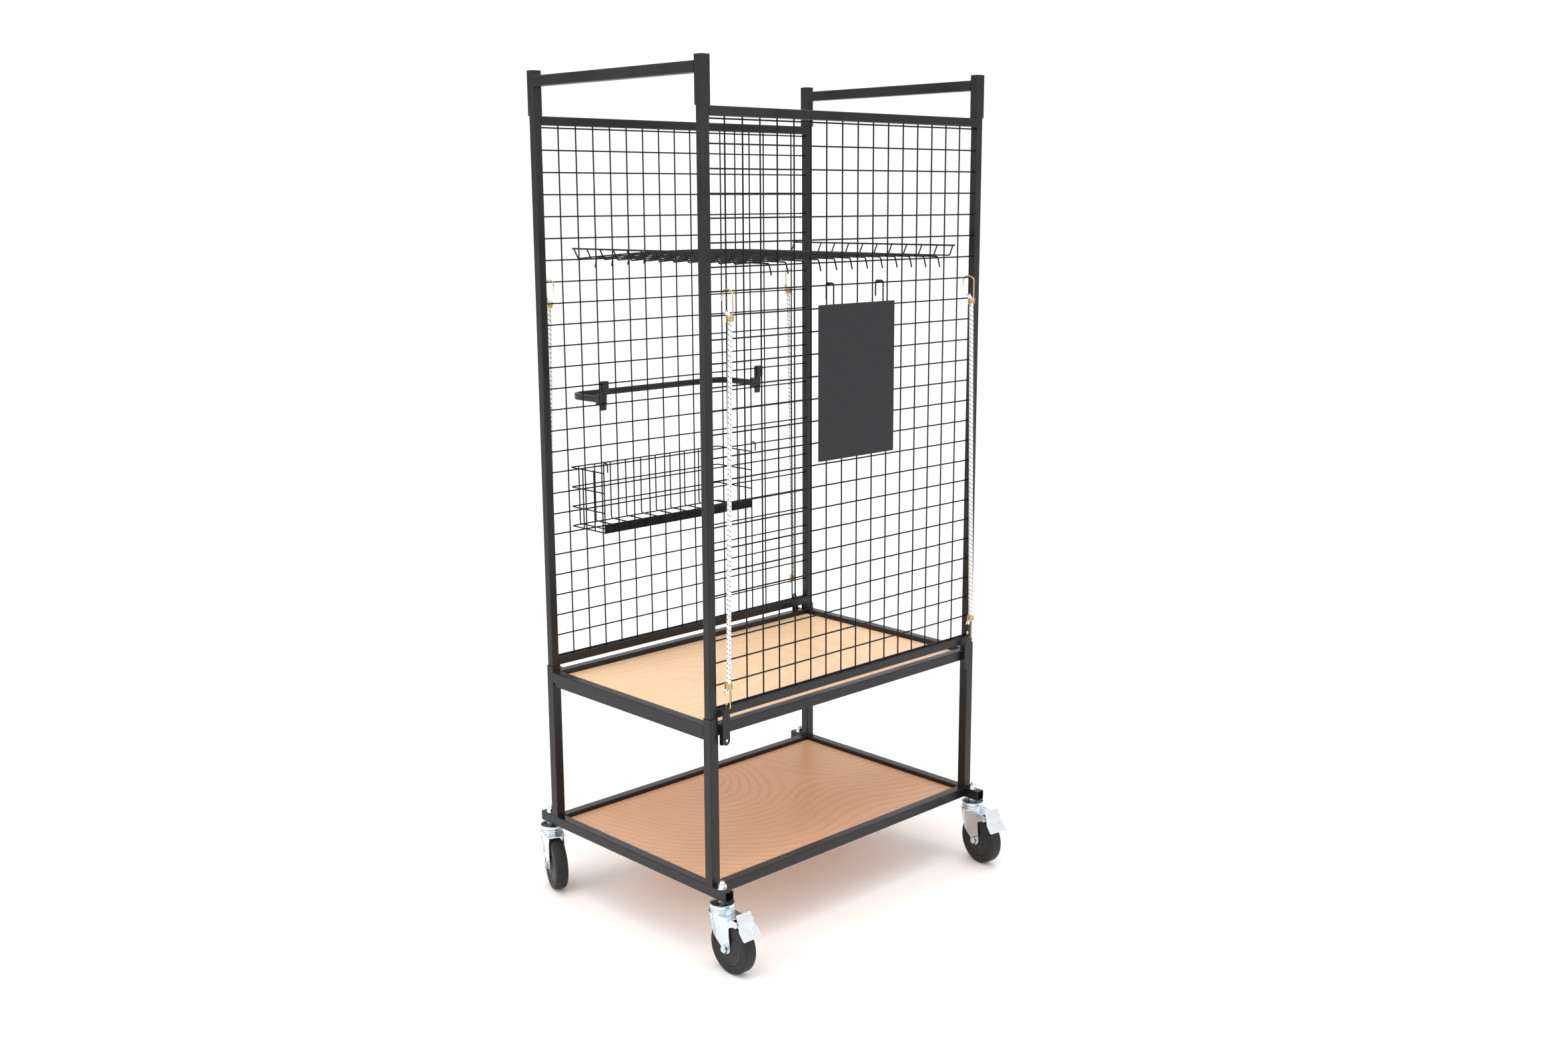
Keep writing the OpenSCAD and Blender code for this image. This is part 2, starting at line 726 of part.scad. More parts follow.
color(rubber) at_caster(1, -1, turn_fr) tyre();  // tyre_front_right
color(rubber) at_caster(1, -1, turn_fr) hub();  // hub_front_right
color(zinc) at_caster(-1, 1, turn_bl) fork(false);  // fork_back_left
color(zinc) at_caster(-1, 1, turn_bl) axle();  // axle_back_left
color(rubber) at_caster(-1, 1, turn_bl) tyre();  // tyre_back_left
color(rubber) at_caster(-1, 1, turn_bl) hub();  // hub_back_left
color(zinc) at_caster(1, 1, turn_br) fork(false);  // fork_back_right
color(zinc) at_caster(1, 1, turn_br) axle();  // axle_back_right
color(rubber) at_caster(1, 1, turn_br) tyre();  // tyre_back_right
color(rubber) at_caster(1, 1, turn_br) hub();  // hub_back_right
at_caster(-1, -1, turn_fl) brake_pedal();  // brake_pedal_left
at_caster(1, -1, turn_fr) brake_pedal();  // brake_pedal_right
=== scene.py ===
"""Roll cage container: looks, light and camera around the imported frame."""
import json
import math
import random

import bpy
from mathutils import Matrix, Vector
from mathutils.geometry import delaunay_2d_cdt


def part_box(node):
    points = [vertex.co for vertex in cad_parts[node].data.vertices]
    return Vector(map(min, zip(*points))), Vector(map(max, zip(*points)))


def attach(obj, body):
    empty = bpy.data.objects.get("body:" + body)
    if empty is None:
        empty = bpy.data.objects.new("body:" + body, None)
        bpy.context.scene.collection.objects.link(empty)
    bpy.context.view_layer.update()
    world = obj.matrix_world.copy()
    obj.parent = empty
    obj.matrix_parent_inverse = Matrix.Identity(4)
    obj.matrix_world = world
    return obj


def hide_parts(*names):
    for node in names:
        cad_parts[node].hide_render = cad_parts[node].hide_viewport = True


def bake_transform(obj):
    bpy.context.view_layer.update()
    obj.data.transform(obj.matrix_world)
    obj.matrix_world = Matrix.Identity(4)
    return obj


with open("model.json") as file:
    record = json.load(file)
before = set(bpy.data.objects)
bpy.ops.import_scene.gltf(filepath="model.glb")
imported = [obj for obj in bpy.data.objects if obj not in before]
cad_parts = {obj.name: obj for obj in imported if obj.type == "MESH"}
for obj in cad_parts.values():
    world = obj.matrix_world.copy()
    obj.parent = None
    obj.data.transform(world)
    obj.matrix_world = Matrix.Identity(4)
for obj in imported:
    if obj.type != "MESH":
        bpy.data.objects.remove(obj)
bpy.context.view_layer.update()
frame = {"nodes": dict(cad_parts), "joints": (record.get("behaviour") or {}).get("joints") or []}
NODES = frame["nodes"]
JOINTS = {j["name"]: j for j in frame["joints"]}
MM = 0.001
QUARTERS = [(sx, sy) for sx in (-1, 1) for sy in (-1, 1)]
random.seed(7)

# ---------------------------------------------------------------- materials


class Tree:
    """The node tree of a material or of the world, with short calls to add and join nodes."""

    def __init__(self, owner, shader="Principled BSDF"):
        self.owner = bpy.data.materials.new(owner) if isinstance(owner, str) else owner
        self.owner.use_nodes = True
        self.nodes = self.owner.node_tree.nodes
        self.links = self.owner.node_tree.links
        self.shader = self.nodes[shader]

    def put(self, socket, value):
        if isinstance(value, bpy.types.NodeSocket):
            self.links.new(value, socket)
        else:
            socket.default_value = value

    def add(self, kind, settings=None, **inputs):
        node = self.nodes.new("ShaderNode" + kind)
        for key, value in (settings or {}).items():
            setattr(node, key, value)
        for key, value in inputs.items():
            name = int(key[1:]) if key[0] == "i" and key[1:].isdigit() else key.replace("_", " ")
            self.put(node.inputs[name], value)
        return node

    def math(self, operation, a, b=0.0, c=0.0):
        return self.add("Math", {"operation": operation}, i0=a, i1=b, i2=c).outputs[0]

    def part(self, vector, axis):
        return self.add("SeparateXYZ", Vector=vector).outputs[axis]

    def noise(self, vector, scale, detail=2.0, rough=0.5, distortion=0.0):
        return self.add("TexNoise", Vector=vector, Scale=scale, Detail=detail,
                        Roughness=rough, Distortion=distortion).outputs["Fac"]

    def spread(self, value, low, high, out_low=0.0, out_high=1.0):
        node = self.add("MapRange", Value=value)
        for key, number in zip((1, 2, 3, 4), (low, high, out_low, out_high)):
            node.inputs[key].default_value = number
        return node.outputs[0]

    def mix(self, factor, a, b):
        node = self.add("Mix", {"data_type": "RGBA"})
        self.put(node.inputs[0], factor)
        self.put(node.inputs[6], a)
        self.put(node.inputs[7], b)
        return node.outputs[2]

    def stretch(self, scale, turn=(0, 0, 0)):
        place = self.add("TexCoord").outputs["Object"]
        return self.add("Mapping", Vector=place, Scale=scale, Rotation=turn).outputs[0]

    def bump(self, height, distance, strength=1.0, normal=None):
        node = self.add("Bump", Height=height, Distance=distance, Strength=strength)
        if normal is not None:
            self.put(node.inputs["Normal"], normal)
        return node.outputs[0]

    def finish(self, **inputs):
        for key, value in inputs.items():
            self.put(self.shader.inputs[key.replace("_", " ")], value)
        return self.owner


def rgb(r, g, b):
    return (r, g, b, 1.0)


def powder_coat(name, dark, light, rough, peel_scale, shine=0.36):
    """Semi-gloss black coat with a fine orange peel and a few dull patches."""
    t = Tree(name)
    place = t.stretch((1, 1, 1))
    peel = t.noise(place, peel_scale, 2.0)
    cloud = t.noise(place, 9.0, 4.0)
    speck = t.spread(t.noise(place, 420.0, 1.0), 0.66, 0.74)
    colour = t.mix(t.spread(cloud, 0.35, 0.7), dark, light)
    colour = t.mix(t.math("MULTIPLY", speck, 0.06), colour, rgb(0.11, 0.11, 0.11))
    roughness = t.spread(cloud, 0.3, 0.7, rough - 0.05, rough + 0.07)
    return t.finish(Base_Color=colour, Roughness=roughness, Specular_IOR_Level=shine,
                    Normal=t.bump(peel, 0.00012, 0.5))


def beech_ply(name, pale, deep, line, hearts, ring_pitch, ring_depth):
    """Rotary-cut beech: nested growth rings, fine fibre, short flecks, and plies at the edge.

    A heart is the (x, y) that rings run round, and how narrow they are along X.
    """
    t = Tree(name)
    place = t.add("TexCoord").outputs["Object"]
    sway = t.noise(t.stretch((1.2, 3.0, 1)), 1.6, 3.0)
    reach = None
    for x, y, narrow in hearts:
        moved = t.add("Mapping", Vector=place, Location=(-x, -y, 0)).outputs[0]
        along, across = t.math("MULTIPLY", t.part(moved, 0), narrow), t.part(moved, 1)
        arc = t.math("SQRT", t.math("ADD", t.math("MULTIPLY", along, along),
                                    t.math("MULTIPLY", across, across)))
        reach = arc if reach is None else t.math("SMOOTH_MIN", reach, arc, 0.3)
    reach = t.math("ADD", reach, t.math("MULTIPLY", sway, 0.09))
    wave = t.math("SINE", t.math("MULTIPLY", reach, 2 * math.pi / ring_pitch))
    rings = t.math("POWER", t.spread(wave, -1.0, 1.0), 2.5)
    rings = t.math("MULTIPLY", rings, t.spread(t.noise(place, 4.0, 2.0), 0.3, 0.7, 0.35, 1.0))
    fibre = t.noise(t.stretch((9, 320, 1)), 1.0, 4.0, 0.6)
    fleck = t.spread(t.noise(t.stretch((70, 900, 1)), 1.0, 1.0), 0.64, 0.72)
    broad = t.noise(t.stretch((0.8, 2.6, 1)), 1.4, 2.0)
    colour = t.mix(t.spread(broad, 0.3, 0.72), pale, deep)
    colour = t.mix(t.math("MULTIPLY", rings, ring_depth), colour, line)
    colour = t.mix(t.spread(fibre, 0.35, 0.75, 0.0, 0.3), colour, line)
    colour = t.mix(t.math("MULTIPLY", fleck, 0.4), colour, line)
    # plies show where the face looks sideways
    facing = t.math("ABSOLUTE", t.part(t.add("NewGeometry").outputs["Normal"], 2))
    layers_per_metre = 380.0
    ply = t.math("FRACT", t.math("MULTIPLY", t.part(place, 2), layers_per_metre))
    ply = t.math("GREATER_THAN", ply, 0.5)
    edge = t.mix(ply, pale, rgb(0.24, 0.13, 0.06))
    colour = t.mix(t.math("LESS_THAN", facing, 0.5), colour, edge)
    normal = t.bump(t.math("ADD", fibre, t.math("MULTIPLY", fleck, -0.5)), 0.0002, 0.35)
    return t.finish(Base_Color=colour, Roughness=t.spread(fibre, 0.3, 0.7, 0.36, 0.52),
                    Specular_IOR_Level=0.4, Coat_Weight=0.12, Coat_Roughness=0.3, Normal=normal)


def plated(name, tone, warm, rough, metal=1.0, streak=60.0):
    """Bright plated steel with drifting tint, handling marks and a soft grain."""
    t = Tree(name)
    place = t.stretch((1, 1, 1))
    cloud = t.noise(place, 14.0, 2.0, 0.5, 0.4)
    grain = t.noise(t.stretch((streak, streak, 8 * streak)), 3.0, 3.0)
    mark = t.spread(t.noise(place, 60.0, 3.0, 0.6), 0.55, 0.8)
    colour = t.mix(t.spread(cloud, 0.3, 0.7), tone, warm)
    roughness = t.math("ADD", t.spread(grain, 0.3, 0.7, rough - 0.02, rough + 0.03),
                       t.math("MULTIPLY", mark, 0.05))
    return t.finish(Base_Color=colour, Metallic=metal, Roughness=roughness,
                    Normal=t.bump(grain, 0.00002, 0.25))


def moulded(name, colour, rough, scale, depth, dusty=0.12):
    """Matt moulded rubber or plastic with a fine grain and pale dust in patches."""
    t = Tree(name)
    place = t.stretch((1, 1, 1))
    grain = t.noise(place, scale, 3.0, 0.6)
    dust = t.spread(t.noise(place, 30.0, 4.0, 0.65), 0.5, 0.8, 0.0, dusty)
    tint = t.mix(dust, colour, rgb(0.12, 0.115, 0.105))
    return t.finish(Base_Color=tint, Roughness=t.spread(grain, 0.3, 0.7, rough - 0.08, rough + 0.08),
                    Specular_IOR_Level=0.35, Normal=t.bump(grain, depth, 0.6))


def braid_cloth(name):
    """White braid. U runs once round the cord, V is the length in metres."""
    columns, pitch = 6.0, 0.0109
    t = Tree(name)
    uv = t.add("UVMap").outputs[0]
    u = t.math("MULTIPLY", t.part(uv, 0), columns)
    v = t.math("DIVIDE", t.part(uv, 1), pitch)
    slant = t.math("ADD", v, t.math("MULTIPLY", u, 0.27))
    in_row = t.math("LESS_THAN", t.math("FRACT", slant), 0.25)
    side = t.math("ABSOLUTE", t.math("SUBTRACT", t.math("FRACT", u), 0.5))
    tick = t.math("MULTIPLY", in_row, t.math("LESS_THAN", side, 0.27))
    fuzz = t.noise(t.stretch((1, 1, 1)), 900.0, 3.0, 0.6)
    soil = t.noise(t.stretch((1, 1, 1)), 25.0, 3.0)
    white = t.mix(t.spread(soil, 0.4, 0.75), rgb(0.87, 0.87, 0.85), rgb(0.76, 0.75, 0.71))
    colour = t.mix(tick, white, rgb(0.012, 0.012, 0.014))
    return t.finish(Base_Color=colour, Roughness=0.85, Sheen_Weight=0.25, Specular_IOR_Level=0.2,
                    Normal=t.bump(fuzz, 0.00015, 0.6))


def pale_floor(name):
    """Matt white paper that fades to plain white away from the object."""
    t = Tree(name)
    place = t.stretch((1, 1, 1))
    away = t.spread(t.add("VectorMath", {"operation": "LENGTH"}, i0=place).outputs["Value"], 0.9, 2.2)
    cloud = t.noise(place, 0.6, 2.0)
    paper = t.mix(cloud, rgb(0.93, 0.90, 0.885), rgb(0.95, 0.925, 0.91))
    colour = t.mix(away, paper, rgb(0.2, 0.2, 0.2))
    glow = t.math("ADD", t.math("MULTIPLY", away, 0.95), 0.02)
    return t.finish(Base_Color=colour, Roughness=0.7, Specular_IOR_Level=0.1,
                    Emission_Color=rgb(1.0, 1.0, 1.0), Emission_Strength=glow)


COAT = powder_coat("black_powder_coat", rgb(0.006, 0.006, 0.007), rgb(0.010, 0.010, 0.011),
                   0.30, 1100.0)
WIRE = powder_coat("black_wire_coat", rgb(0.003, 0.003, 0.0035), rgb(0.005, 0.005, 0.006),
                   0.34, 1500.0, 0.16)
PLY_TOP = beech_ply("beech_ply_light", rgb(0.86, 0.60, 0.37), rgb(0.78, 0.51, 0.30),
                    rgb(0.62, 0.36, 0.19), ((-0.34, 0.02, 0.5),), 0.034, 0.3)
PLY_LOW = beech_ply("beech_ply_warm", rgb(0.70, 0.42, 0.25), rgb(0.60, 0.34, 0.19),
                    rgb(0.44, 0.23, 0.12), ((-0.03, 0.27, 1.3), (0.42, 0.24, 1.3)), 0.026, 0.5)
ZINC = plated("bright_zinc", rgb(0.66, 0.75, 0.83), rgb(0.76, 0.80, 0.82), 0.24)
ZINC_WHITE = plated("white_zinc", rgb(0.56, 0.59, 0.62), rgb(0.62, 0.64, 0.65), 0.38, 0.35)
# painted shade: a dark plated material laid as thin discs in hollows where shade falls, inside the race cups
# and on the fork legs
PAINTED_SHADE = plated("race_shadow", rgb(0.10, 0.11, 0.12), rgb(0.16, 0.16, 0.16), 0.45)
GOLD = plated("yellow_zinc", rgb(0.62, 0.53, 0.25), rgb(0.55, 0.38, 0.22), 0.24)
TREAD = moulded("wheel_rubber", rgb(0.014, 0.014, 0.015), 0.60, 700.0, 0.00012)
CORE = moulded("wheel_core", rgb(0.018, 0.018, 0.019), 0.52, 500.0, 0.0001)
CLIP = moulded("black_nylon", rgb(0.014, 0.014, 0.015), 0.45, 800.0, 0.00008)
SIGN = moulded("charcoal_sheet", rgb(0.010, 0.0105, 0.012), 0.50, 1300.0, 0.00005, 0.02)
CREAM = moulded("cream_tip", rgb(0.80, 0.76, 0.62), 0.45, 500.0, 0.00006)
INK = moulded("black_thread", rgb(0.015, 0.015, 0.016), 0.8, 900.0, 0.0001)
BRAID = braid_cloth("cord_braid")
FLOOR = pale_floor("pale_floor")

# ---------------------------------------------------------------- mesh tools


class Build:
    """Collects vertices and faces, with a material for each part, for one piece."""

    def __init__(self):
        self.verts, self.faces, self.uvs, self.marks, self.materials = [], [], [], [], []

    def add(self, shape, material, matrix=None, scale=MM):
        verts, faces, uvs = shape if len(shape) == 3 else (*shape, None)
        if material not in self.materials:
            self.materials.append(material)
        start = len(self.verts)
        matrix = matrix or Matrix.Identity(4)
        self.verts += [matrix @ (Vector(v) * scale) for v in verts]
        self.faces += [[start + i for i in f] for f in faces]
        self.uvs += uvs or [[(0.0, 0.0)] * len(f) for f in faces]
        self.marks += [self.materials.index(material)] * len(faces)
        return self

    def piece(self, name, body, stands_for=(), slot=None, sharp=35.0):
        mesh = bpy.data.meshes.new(name)
        mesh.from_pydata(self.verts, [], self.faces)
        for material in self.materials:
            mesh.materials.append(material)
        layer = mesh.uv_layers.new(name="UVMap")
        flat = [uv for face in self.uvs for uv in face]
        for loop, uv in zip(layer.data, flat):
            loop.uv = uv
        for polygon, mark in zip(mesh.polygons, self.marks):
            polygon.material_index = mark
            polygon.use_smooth = True
        mesh.update()
        mesh.set_sharp_from_angle(angle=math.radians(sharp))
        obj = bpy.data.objects.new(name, mesh)
        bpy.context.scene.collection.objects.link(obj)
        if body:
            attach(obj, body)
        if stands_for:
            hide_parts(*stands_for)
        return obj


def between_rings(rings, count):
    """Faces that join each ring of points to the next one."""
    return [[i * count + k, i * count + (k + 1) % count,
             (i + 1) * count + (k + 1) % count, (i + 1) * count + k]
            for i in range(rings - 1) for k in range(count)]


def prism(near, far):
    """Solid between two matching outlines."""
    count = len(near)
    ends = [list(range(count))[::-1], list(range(count, 2 * count))]
    return near + far, ends + between_rings(2, count)


def lathe(profile, segments=64):
    """Surface of revolution about Z through (radius, height) points; it closes on the axis."""
    verts, rings = [], []
    for r, z in profile:
        if r < 1e-6:
            rings.append([len(verts)] * segments)
            verts.append((0, 0, z))
        else:
            rings.append(list(range(len(verts), len(verts) + segments)))
            verts += [(r * math.cos(a), r * math.sin(a), z)
                      for a in (2 * math.pi * k / segments for k in range(segments))]
    faces = []
    for low, high in zip(rings, rings[1:]):
        for k in range(segments):
            n = (k + 1) % segments
            loop = [low[k], low[n], high[n], high[k]]
            face = [v for i, v in enumerate(loop) if v != loop[i - 1]]
            if len(face) > 2:
                faces.append(face)
    return verts, faces


def tube_profile(inner, outer, low, high, edge):
    """Closed ring profile with rounded outer edges."""
    curve = [(inner, low)]
    curve += [(outer - edge + edge * math.sin(a), low + edge - edge * math.cos(a))
              for a in (math.pi / 8 * k for k in range(5))]
    curve += [(outer - edge + edge * math.cos(a), high - edge + edge * math.sin(a))
              for a in (math.pi / 8 * k for k in range(5))]
    return curve + [(inner, high), (inner, low)]


def hex_nut(across, height, bore, low=0.0, segments=48):
    """Hex nut about Z with both corner chamfers."""
    apothem = across / 2
    rings = [[], [], [], [], [], []]
    for k in range(segments):
        a = 2 * math.pi * k / segments
        turn = (a + math.pi / 6) % (math.pi / 3) - math.pi / 6
        corner = apothem / math.cos(turn)
        cut = max(0.0, corner - apothem * 1.02) * 0.58
        face = min(corner, apothem * 1.02)
        for ring, (r, z) in zip(rings, ((bore, low), (face, low), (corner, low + cut),
                                        (corner, low + height - cut), (face, low + height),
                                        (bore, low + height))):
            ring.append((r * math.cos(a), r * math.sin(a), z))
    verts = [v for ring in rings for v in ring]
    faces = []
    for i in range(6):
        for k in range(segments):
            n = (k + 1) % segments
            a, b = i * segments, ((i + 1) % 6) * segments
            faces.append([a + k, a + n, b + n, b + k])
    return verts, faces


def thread(radius, low, high, pitch=1.5):
    """Threaded stud: ridges along the shank, with a chamfered end."""
    profile, z = [(0, low), (radius, low)], low
    while z + pitch < high - 1.2:
        profile += [(radius - 0.55, z + pitch / 2), (radius, z + pitch)]
        z += pitch
    return lathe(profile + [(radius, high - 1.2), (radius - 1.2, high), (0, high)], 32)


def frames_along(points):
    """Parallel-transported frames for a swept section."""
    tangents = []
    for i in range(len(points)):
        a = points[max(i - 1, 0)]
        b = points[min(i + 1, len(points) - 1)]
        tangents.append((b - a).normalized())
    side = tangents[0].orthogonal().normalized()
    frames = []
    for t in tangents:
        side = (side - t * side.dot(t)).normalized()
        frames.append((side, t.cross(side)))
    return frames


def sweep(points, radius, segments=12):
    """Round bar along points. The radius is a number or a function of (run, angle)."""
    points = [Vector(p) for p in points]
    verts, uvs, runs, run = [], [], [], 0.0
    for i, (p, (x, y)) in enumerate(zip(points, frames_along(points))):
        run += (p - points[i - 1]).length if i else 0.0
        runs.append(run)
        for k in range(segments):
            a = 2 * math.pi * k / segments
            r = radius(run, a) if callable(radius) else radius
            verts.append(p + (x * math.cos(a) + y * math.sin(a)) * r)
    faces = between_rings(len(points), segments)
    for v0, v1 in zip(runs, runs[1:]):
        for k in range(segments):
            u0, u1 = k / segments, (k + 1) / segments
            uvs.append([(u0, v0 * MM), (u1, v0 * MM), (u1, v1 * MM), (u0, v1 * MM)])
    last = (len(points) - 1) * segments
    faces += [list(range(segments))[::-1], list(range(last, last + segments))]
    uvs += [[(0.0, 0.0)] * segments] * 2
    return verts, faces, uvs


def rounded(points, bend, steps=8):
    """Points with each corner turned into an arc-like curve."""
    points = [Vector(p) for p in points]
    out = [points[0]]
    for a, b, c in zip(points, points[1:], points[2:]):
        u, v = (b - a).normalized(), (c - b).normalized()
        cut = min(bend, (b - a).length * 0.49, (c - b).length * 0.49)
        start, end = b - u * cut, b + v * cut
        for k in range(steps + 1):
            s = k / steps
            out.append(start * (1 - s) ** 2 + b * 2 * s * (1 - s) + end * s * s)
    return out + [points[-1]]


def modify(obj, *modifiers):
    for kind, settings in modifiers:
        modifier = obj.modifiers.new(kind.lower(), kind)
        for key, value in settings.items():
            setattr(modifier, key, value)
    return obj


def bevel(width, angle):
    return ("BEVEL", {"width": width, "segments": 2, "limit_method": "ANGLE",
                      "angle_limit": math.radians(angle)})


def smooth_step(x):
    x = min(max(x, 0.0), 1.0)
    return x * x * (3 - 2 * x)


# ---------------------------------------------------------------- casters

CROWN_Z, CROWN_T = 132.0, 3.0
TRAIL, WHEEL_R, WHEEL_W = 37.0, 62.5, 32.0
PIVOT_S, PIVOT_Z = 67.0, 127.0
FORK_HALF, SHEET = 21.0, 2.5
RACE_TOP, CUP_Z, CUP_TOP = 144.4, 145.0, 154.0
RAIL_Z, TUBE = 161.0, 24.0
CORNERS = ("front_left", "front_right", "back_left", "back_right")


def caster_frame(corner):
    """Row frame of a caster: X along the axle, -Y behind the stem, Z from the floor."""
    stem = JOINTS["swivel_" + corner]["pos_m"]
    axis = JOINTS["wheel_" + corner]["axis"]
    turn = Matrix.Rotation(math.atan2(axis[1], axis[0]), 4, "Z")
    return Matrix.Translation((stem[0], stem[1], 0)) @ turn


def along_x(height, s):
    """Turns a shape about Z so that it lies along the axle at (s, height)."""
    return Matrix.Translation(Vector((0, -s, height)) * MM) @ Matrix.Rotation(math.pi / 2, 4, "Y")


def arc_points(centre, radius, start, end, steps):
    return [(centre[0] + radius * math.cos(math.radians(start + (end - start) * k / steps)),
             centre[1] + radius * math.sin(math.radians(start + (end - start) * k / steps)))
            for k in range(steps + 1)]


def leg_outline(arm):
    """Side outline of a fork leg behind the stem line, from its top corner round to the top."""
    top = CROWN_Z + CROWN_T
    tail = [(TRAIL + 8.5, WHEEL_R + 30), (TRAIL + 8.0, WHEEL_R + 46)]
    if arm:
        tail += arc_points((TRAIL + 15, WHEEL_R + 46), 7, 180, 115, 4)
        tail += [(TRAIL + 21, WHEEL_R + 56.5)]
        tail += arc_points((PIVOT_S, PIVOT_Z), 7.5, 250, 430, 10)
        tail += [(TRAIL + 20, top - 0.2)]
    else:
        tail += [(TRAIL + 9.5, WHEEL_R + 56), (TRAIL + 9.5, top)]
    return [(3, WHEEL_R + 11.5)] + arc_points((TRAIL, WHEEL_R), 12, 210, 360, 14) + tail


def fork_sheet(arm):
    """Pressed fork: two flat legs joined round the front, flared under the race."""
    top, rows, columns = CROWN_Z + CROWN_T, 16, 28

    def lower_edge(s):
        if s < -7:
            return 94 + (121 - 94) * ((-7 - s) / 14) ** 1.15
        return 77.0 + (94 - 77.0) * (-s) / 7

    def flare(s, z):
        return 6.5 * smooth_step((z - 90) / 42) * smooth_step((34 - s) / 34)

    def place(side, s, z):
        return (side * (FORK_HALF + flare(s, z)), -s, z)

    verts, faces = [], []
    # front, as columns round the arc
    grid = []
    for c in range(columns + 1):
        a = math.pi * c / columns
        s, x = -math.sin(a), -math.cos(a)
        column = []
        for r in range(rows + 1):
            low = lower_edge(s * 21)
            z = low + (top - low) * r / rows
            half = FORK_HALF + flare(s * 21, z)
            column.append(len(verts))
            verts.append((x * half, -s * half, z))
        grid.append(column)
    for a, b in zip(grid, grid[1:]):
        faces += [[a[r], b[r], b[r + 1], a[r + 1]] for r in range(rows)]
    # legs, filled between the outline and a grid of inner points
    outline = [(0.0, lower_edge(0) + (top - lower_edge(0)) * r / rows) for r in range(rows, -1, -1)]
    outline += leg_outline(arm)
    edges = [(i, (i + 1) % len(outline)) for i in range(len(outline))]
    inner = [(s, z) for s in range(4, 46, 5) for z in range(66, 134, 5)
             if inside(outline, s, z, 1.5)]
    points, _, fill, _, _, _ = delaunay_2d_cdt([Vector(p) for p in outline + inner], edges, [], 1, 1e-4)
    for side in (-1, 1):
        start = len(verts)
        verts += [place(side, p.x, p.y) for p in points]
        faces += [[start + i for i in (f if side < 0 else f[::-1])] for f in fill]
    return verts, faces


def inside(outline, s, z, margin):
    """Whether a point is inside an outline, at least a margin away from its corners."""
    odd = False
    for (a, b), (c, d) in zip(outline, outline[1:] + outline[:1]):
        if (b > z) != (d > z) and s < a + (z - b) * (c - a) / (d - b):
            odd = not odd
        if math.hypot(s - a, z - b) < margin:
            return False
    return odd


def crown_plate(reach):
    """Flat plate on top of the legs, from the race back to the pedal."""
    half, cut = FORK_HALF - 0.4, 4
    outline = [(-half, 0), (-half, -reach + cut), (-half + cut, -reach), (half - cut, -reach),
               (half, -reach + cut), (half, 0)]
    return prism([(x, y, CROWN_Z) for x, y in outline], [(x, y, CROWN_Z + CROWN_T) for x, y in outline])


def ring_stack():
    """Race rings pressed on the fork, below the fixed cup."""
    lower = tube_profile(7, 27.6, CROWN_Z + 1.0, CROWN_Z + 6.2, 1.6)
    middle = tube_profile(7, 25.4, CROWN_Z + 5.4, CROWN_Z + 9.0, 0.8)
    upper = tube_profile(7, 28.2, CROWN_Z + 8.0, RACE_TOP, 1.5)
    return [lathe(lower, 72), lathe(middle, 72), lathe(upper, 72)]


def build_fork(corner):
    arm = corner.startswith("front")
    matrix = caster_frame(corner)
    fork = Build().add(fork_sheet(arm), ZINC, matrix).piece(
        "fork_shell_" + corner, "swivel_" + corner, slot="bright_zinc", sharp=50)
    modify(fork, ("WELD", {"merge_threshold": 0.00002}),
           ("SOLIDIFY", {"thickness": SHEET * MM, "offset": -1.0}), bevel(0.0005, 50))
    top = Build().add(crown_plate(56 if arm else 46), ZINC, matrix)
    for shape in ring_stack():
        top.add(shape, ZINC, matrix)
    if arm:
        head = [(0, 0), (3.6, 0), (3.6, 0.6), (3.0, 1.4), (1.6, 1.9), (0, 2.0)]
        # the dimple is a thin dark disc on each leg, painted shade standing in for a recess
        dimple_shade_disc = [(0, 0.22), (1.7, 0.22), (2.0, 0)]
        for x in (-1, 1):
            leg = matrix @ Matrix.Translation((x * FORK_HALF * MM, 0, 0))
            top.add(lathe([(r, x * z) for r, z in head], 24), ZINC, leg @ along_x(PIVOT_Z, PIVOT_S))
            top.add(lathe([(r, x * z) for r, z in dimple_shade_disc], 20), PAINTED_SHADE,
                    leg @ along_x(PIVOT_Z + 3.5, TRAIL + 8))
    crown = top.piece("fork_crown_" + corner, "swivel_" + corner, slot="bright_zinc")
    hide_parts("fork_" + corner)
    modify(crown, bevel(0.0006, 60))


def build_axle(corner):
    matrix = caster_frame(corner)
    place = matrix @ along_x(WHEEL_R, TRAIL)
    reach = FORK_HALF + 0.2
    axle = Build()
    bolt = [(0, -reach - 12), (4.2, -reach - 12), (5, -reach - 11), (5, reach), (0, reach)]
    axle.add(lathe(bolt, 32), ZINC, place)
    axle.add(hex_nut(17, 5.2, 0.5, reach), ZINC, place)
    axle.add(lathe(tube_profile(5.1, 9.4, -reach - 1.6, -reach, 0.5), 40), ZINC, place)
    axle.add(hex_nut(16, 6.6, 5.05, -reach - 8.2), ZINC, place)
    axle.add(lathe(tube_profile(5.05, 7.3, -reach - 10.4, -reach - 8.0, 1.0), 40), ZINC, place)
    axle.piece("axle_bolt_" + corner, "swivel_" + corner, ("axle_" + corner,), "bright_zinc")


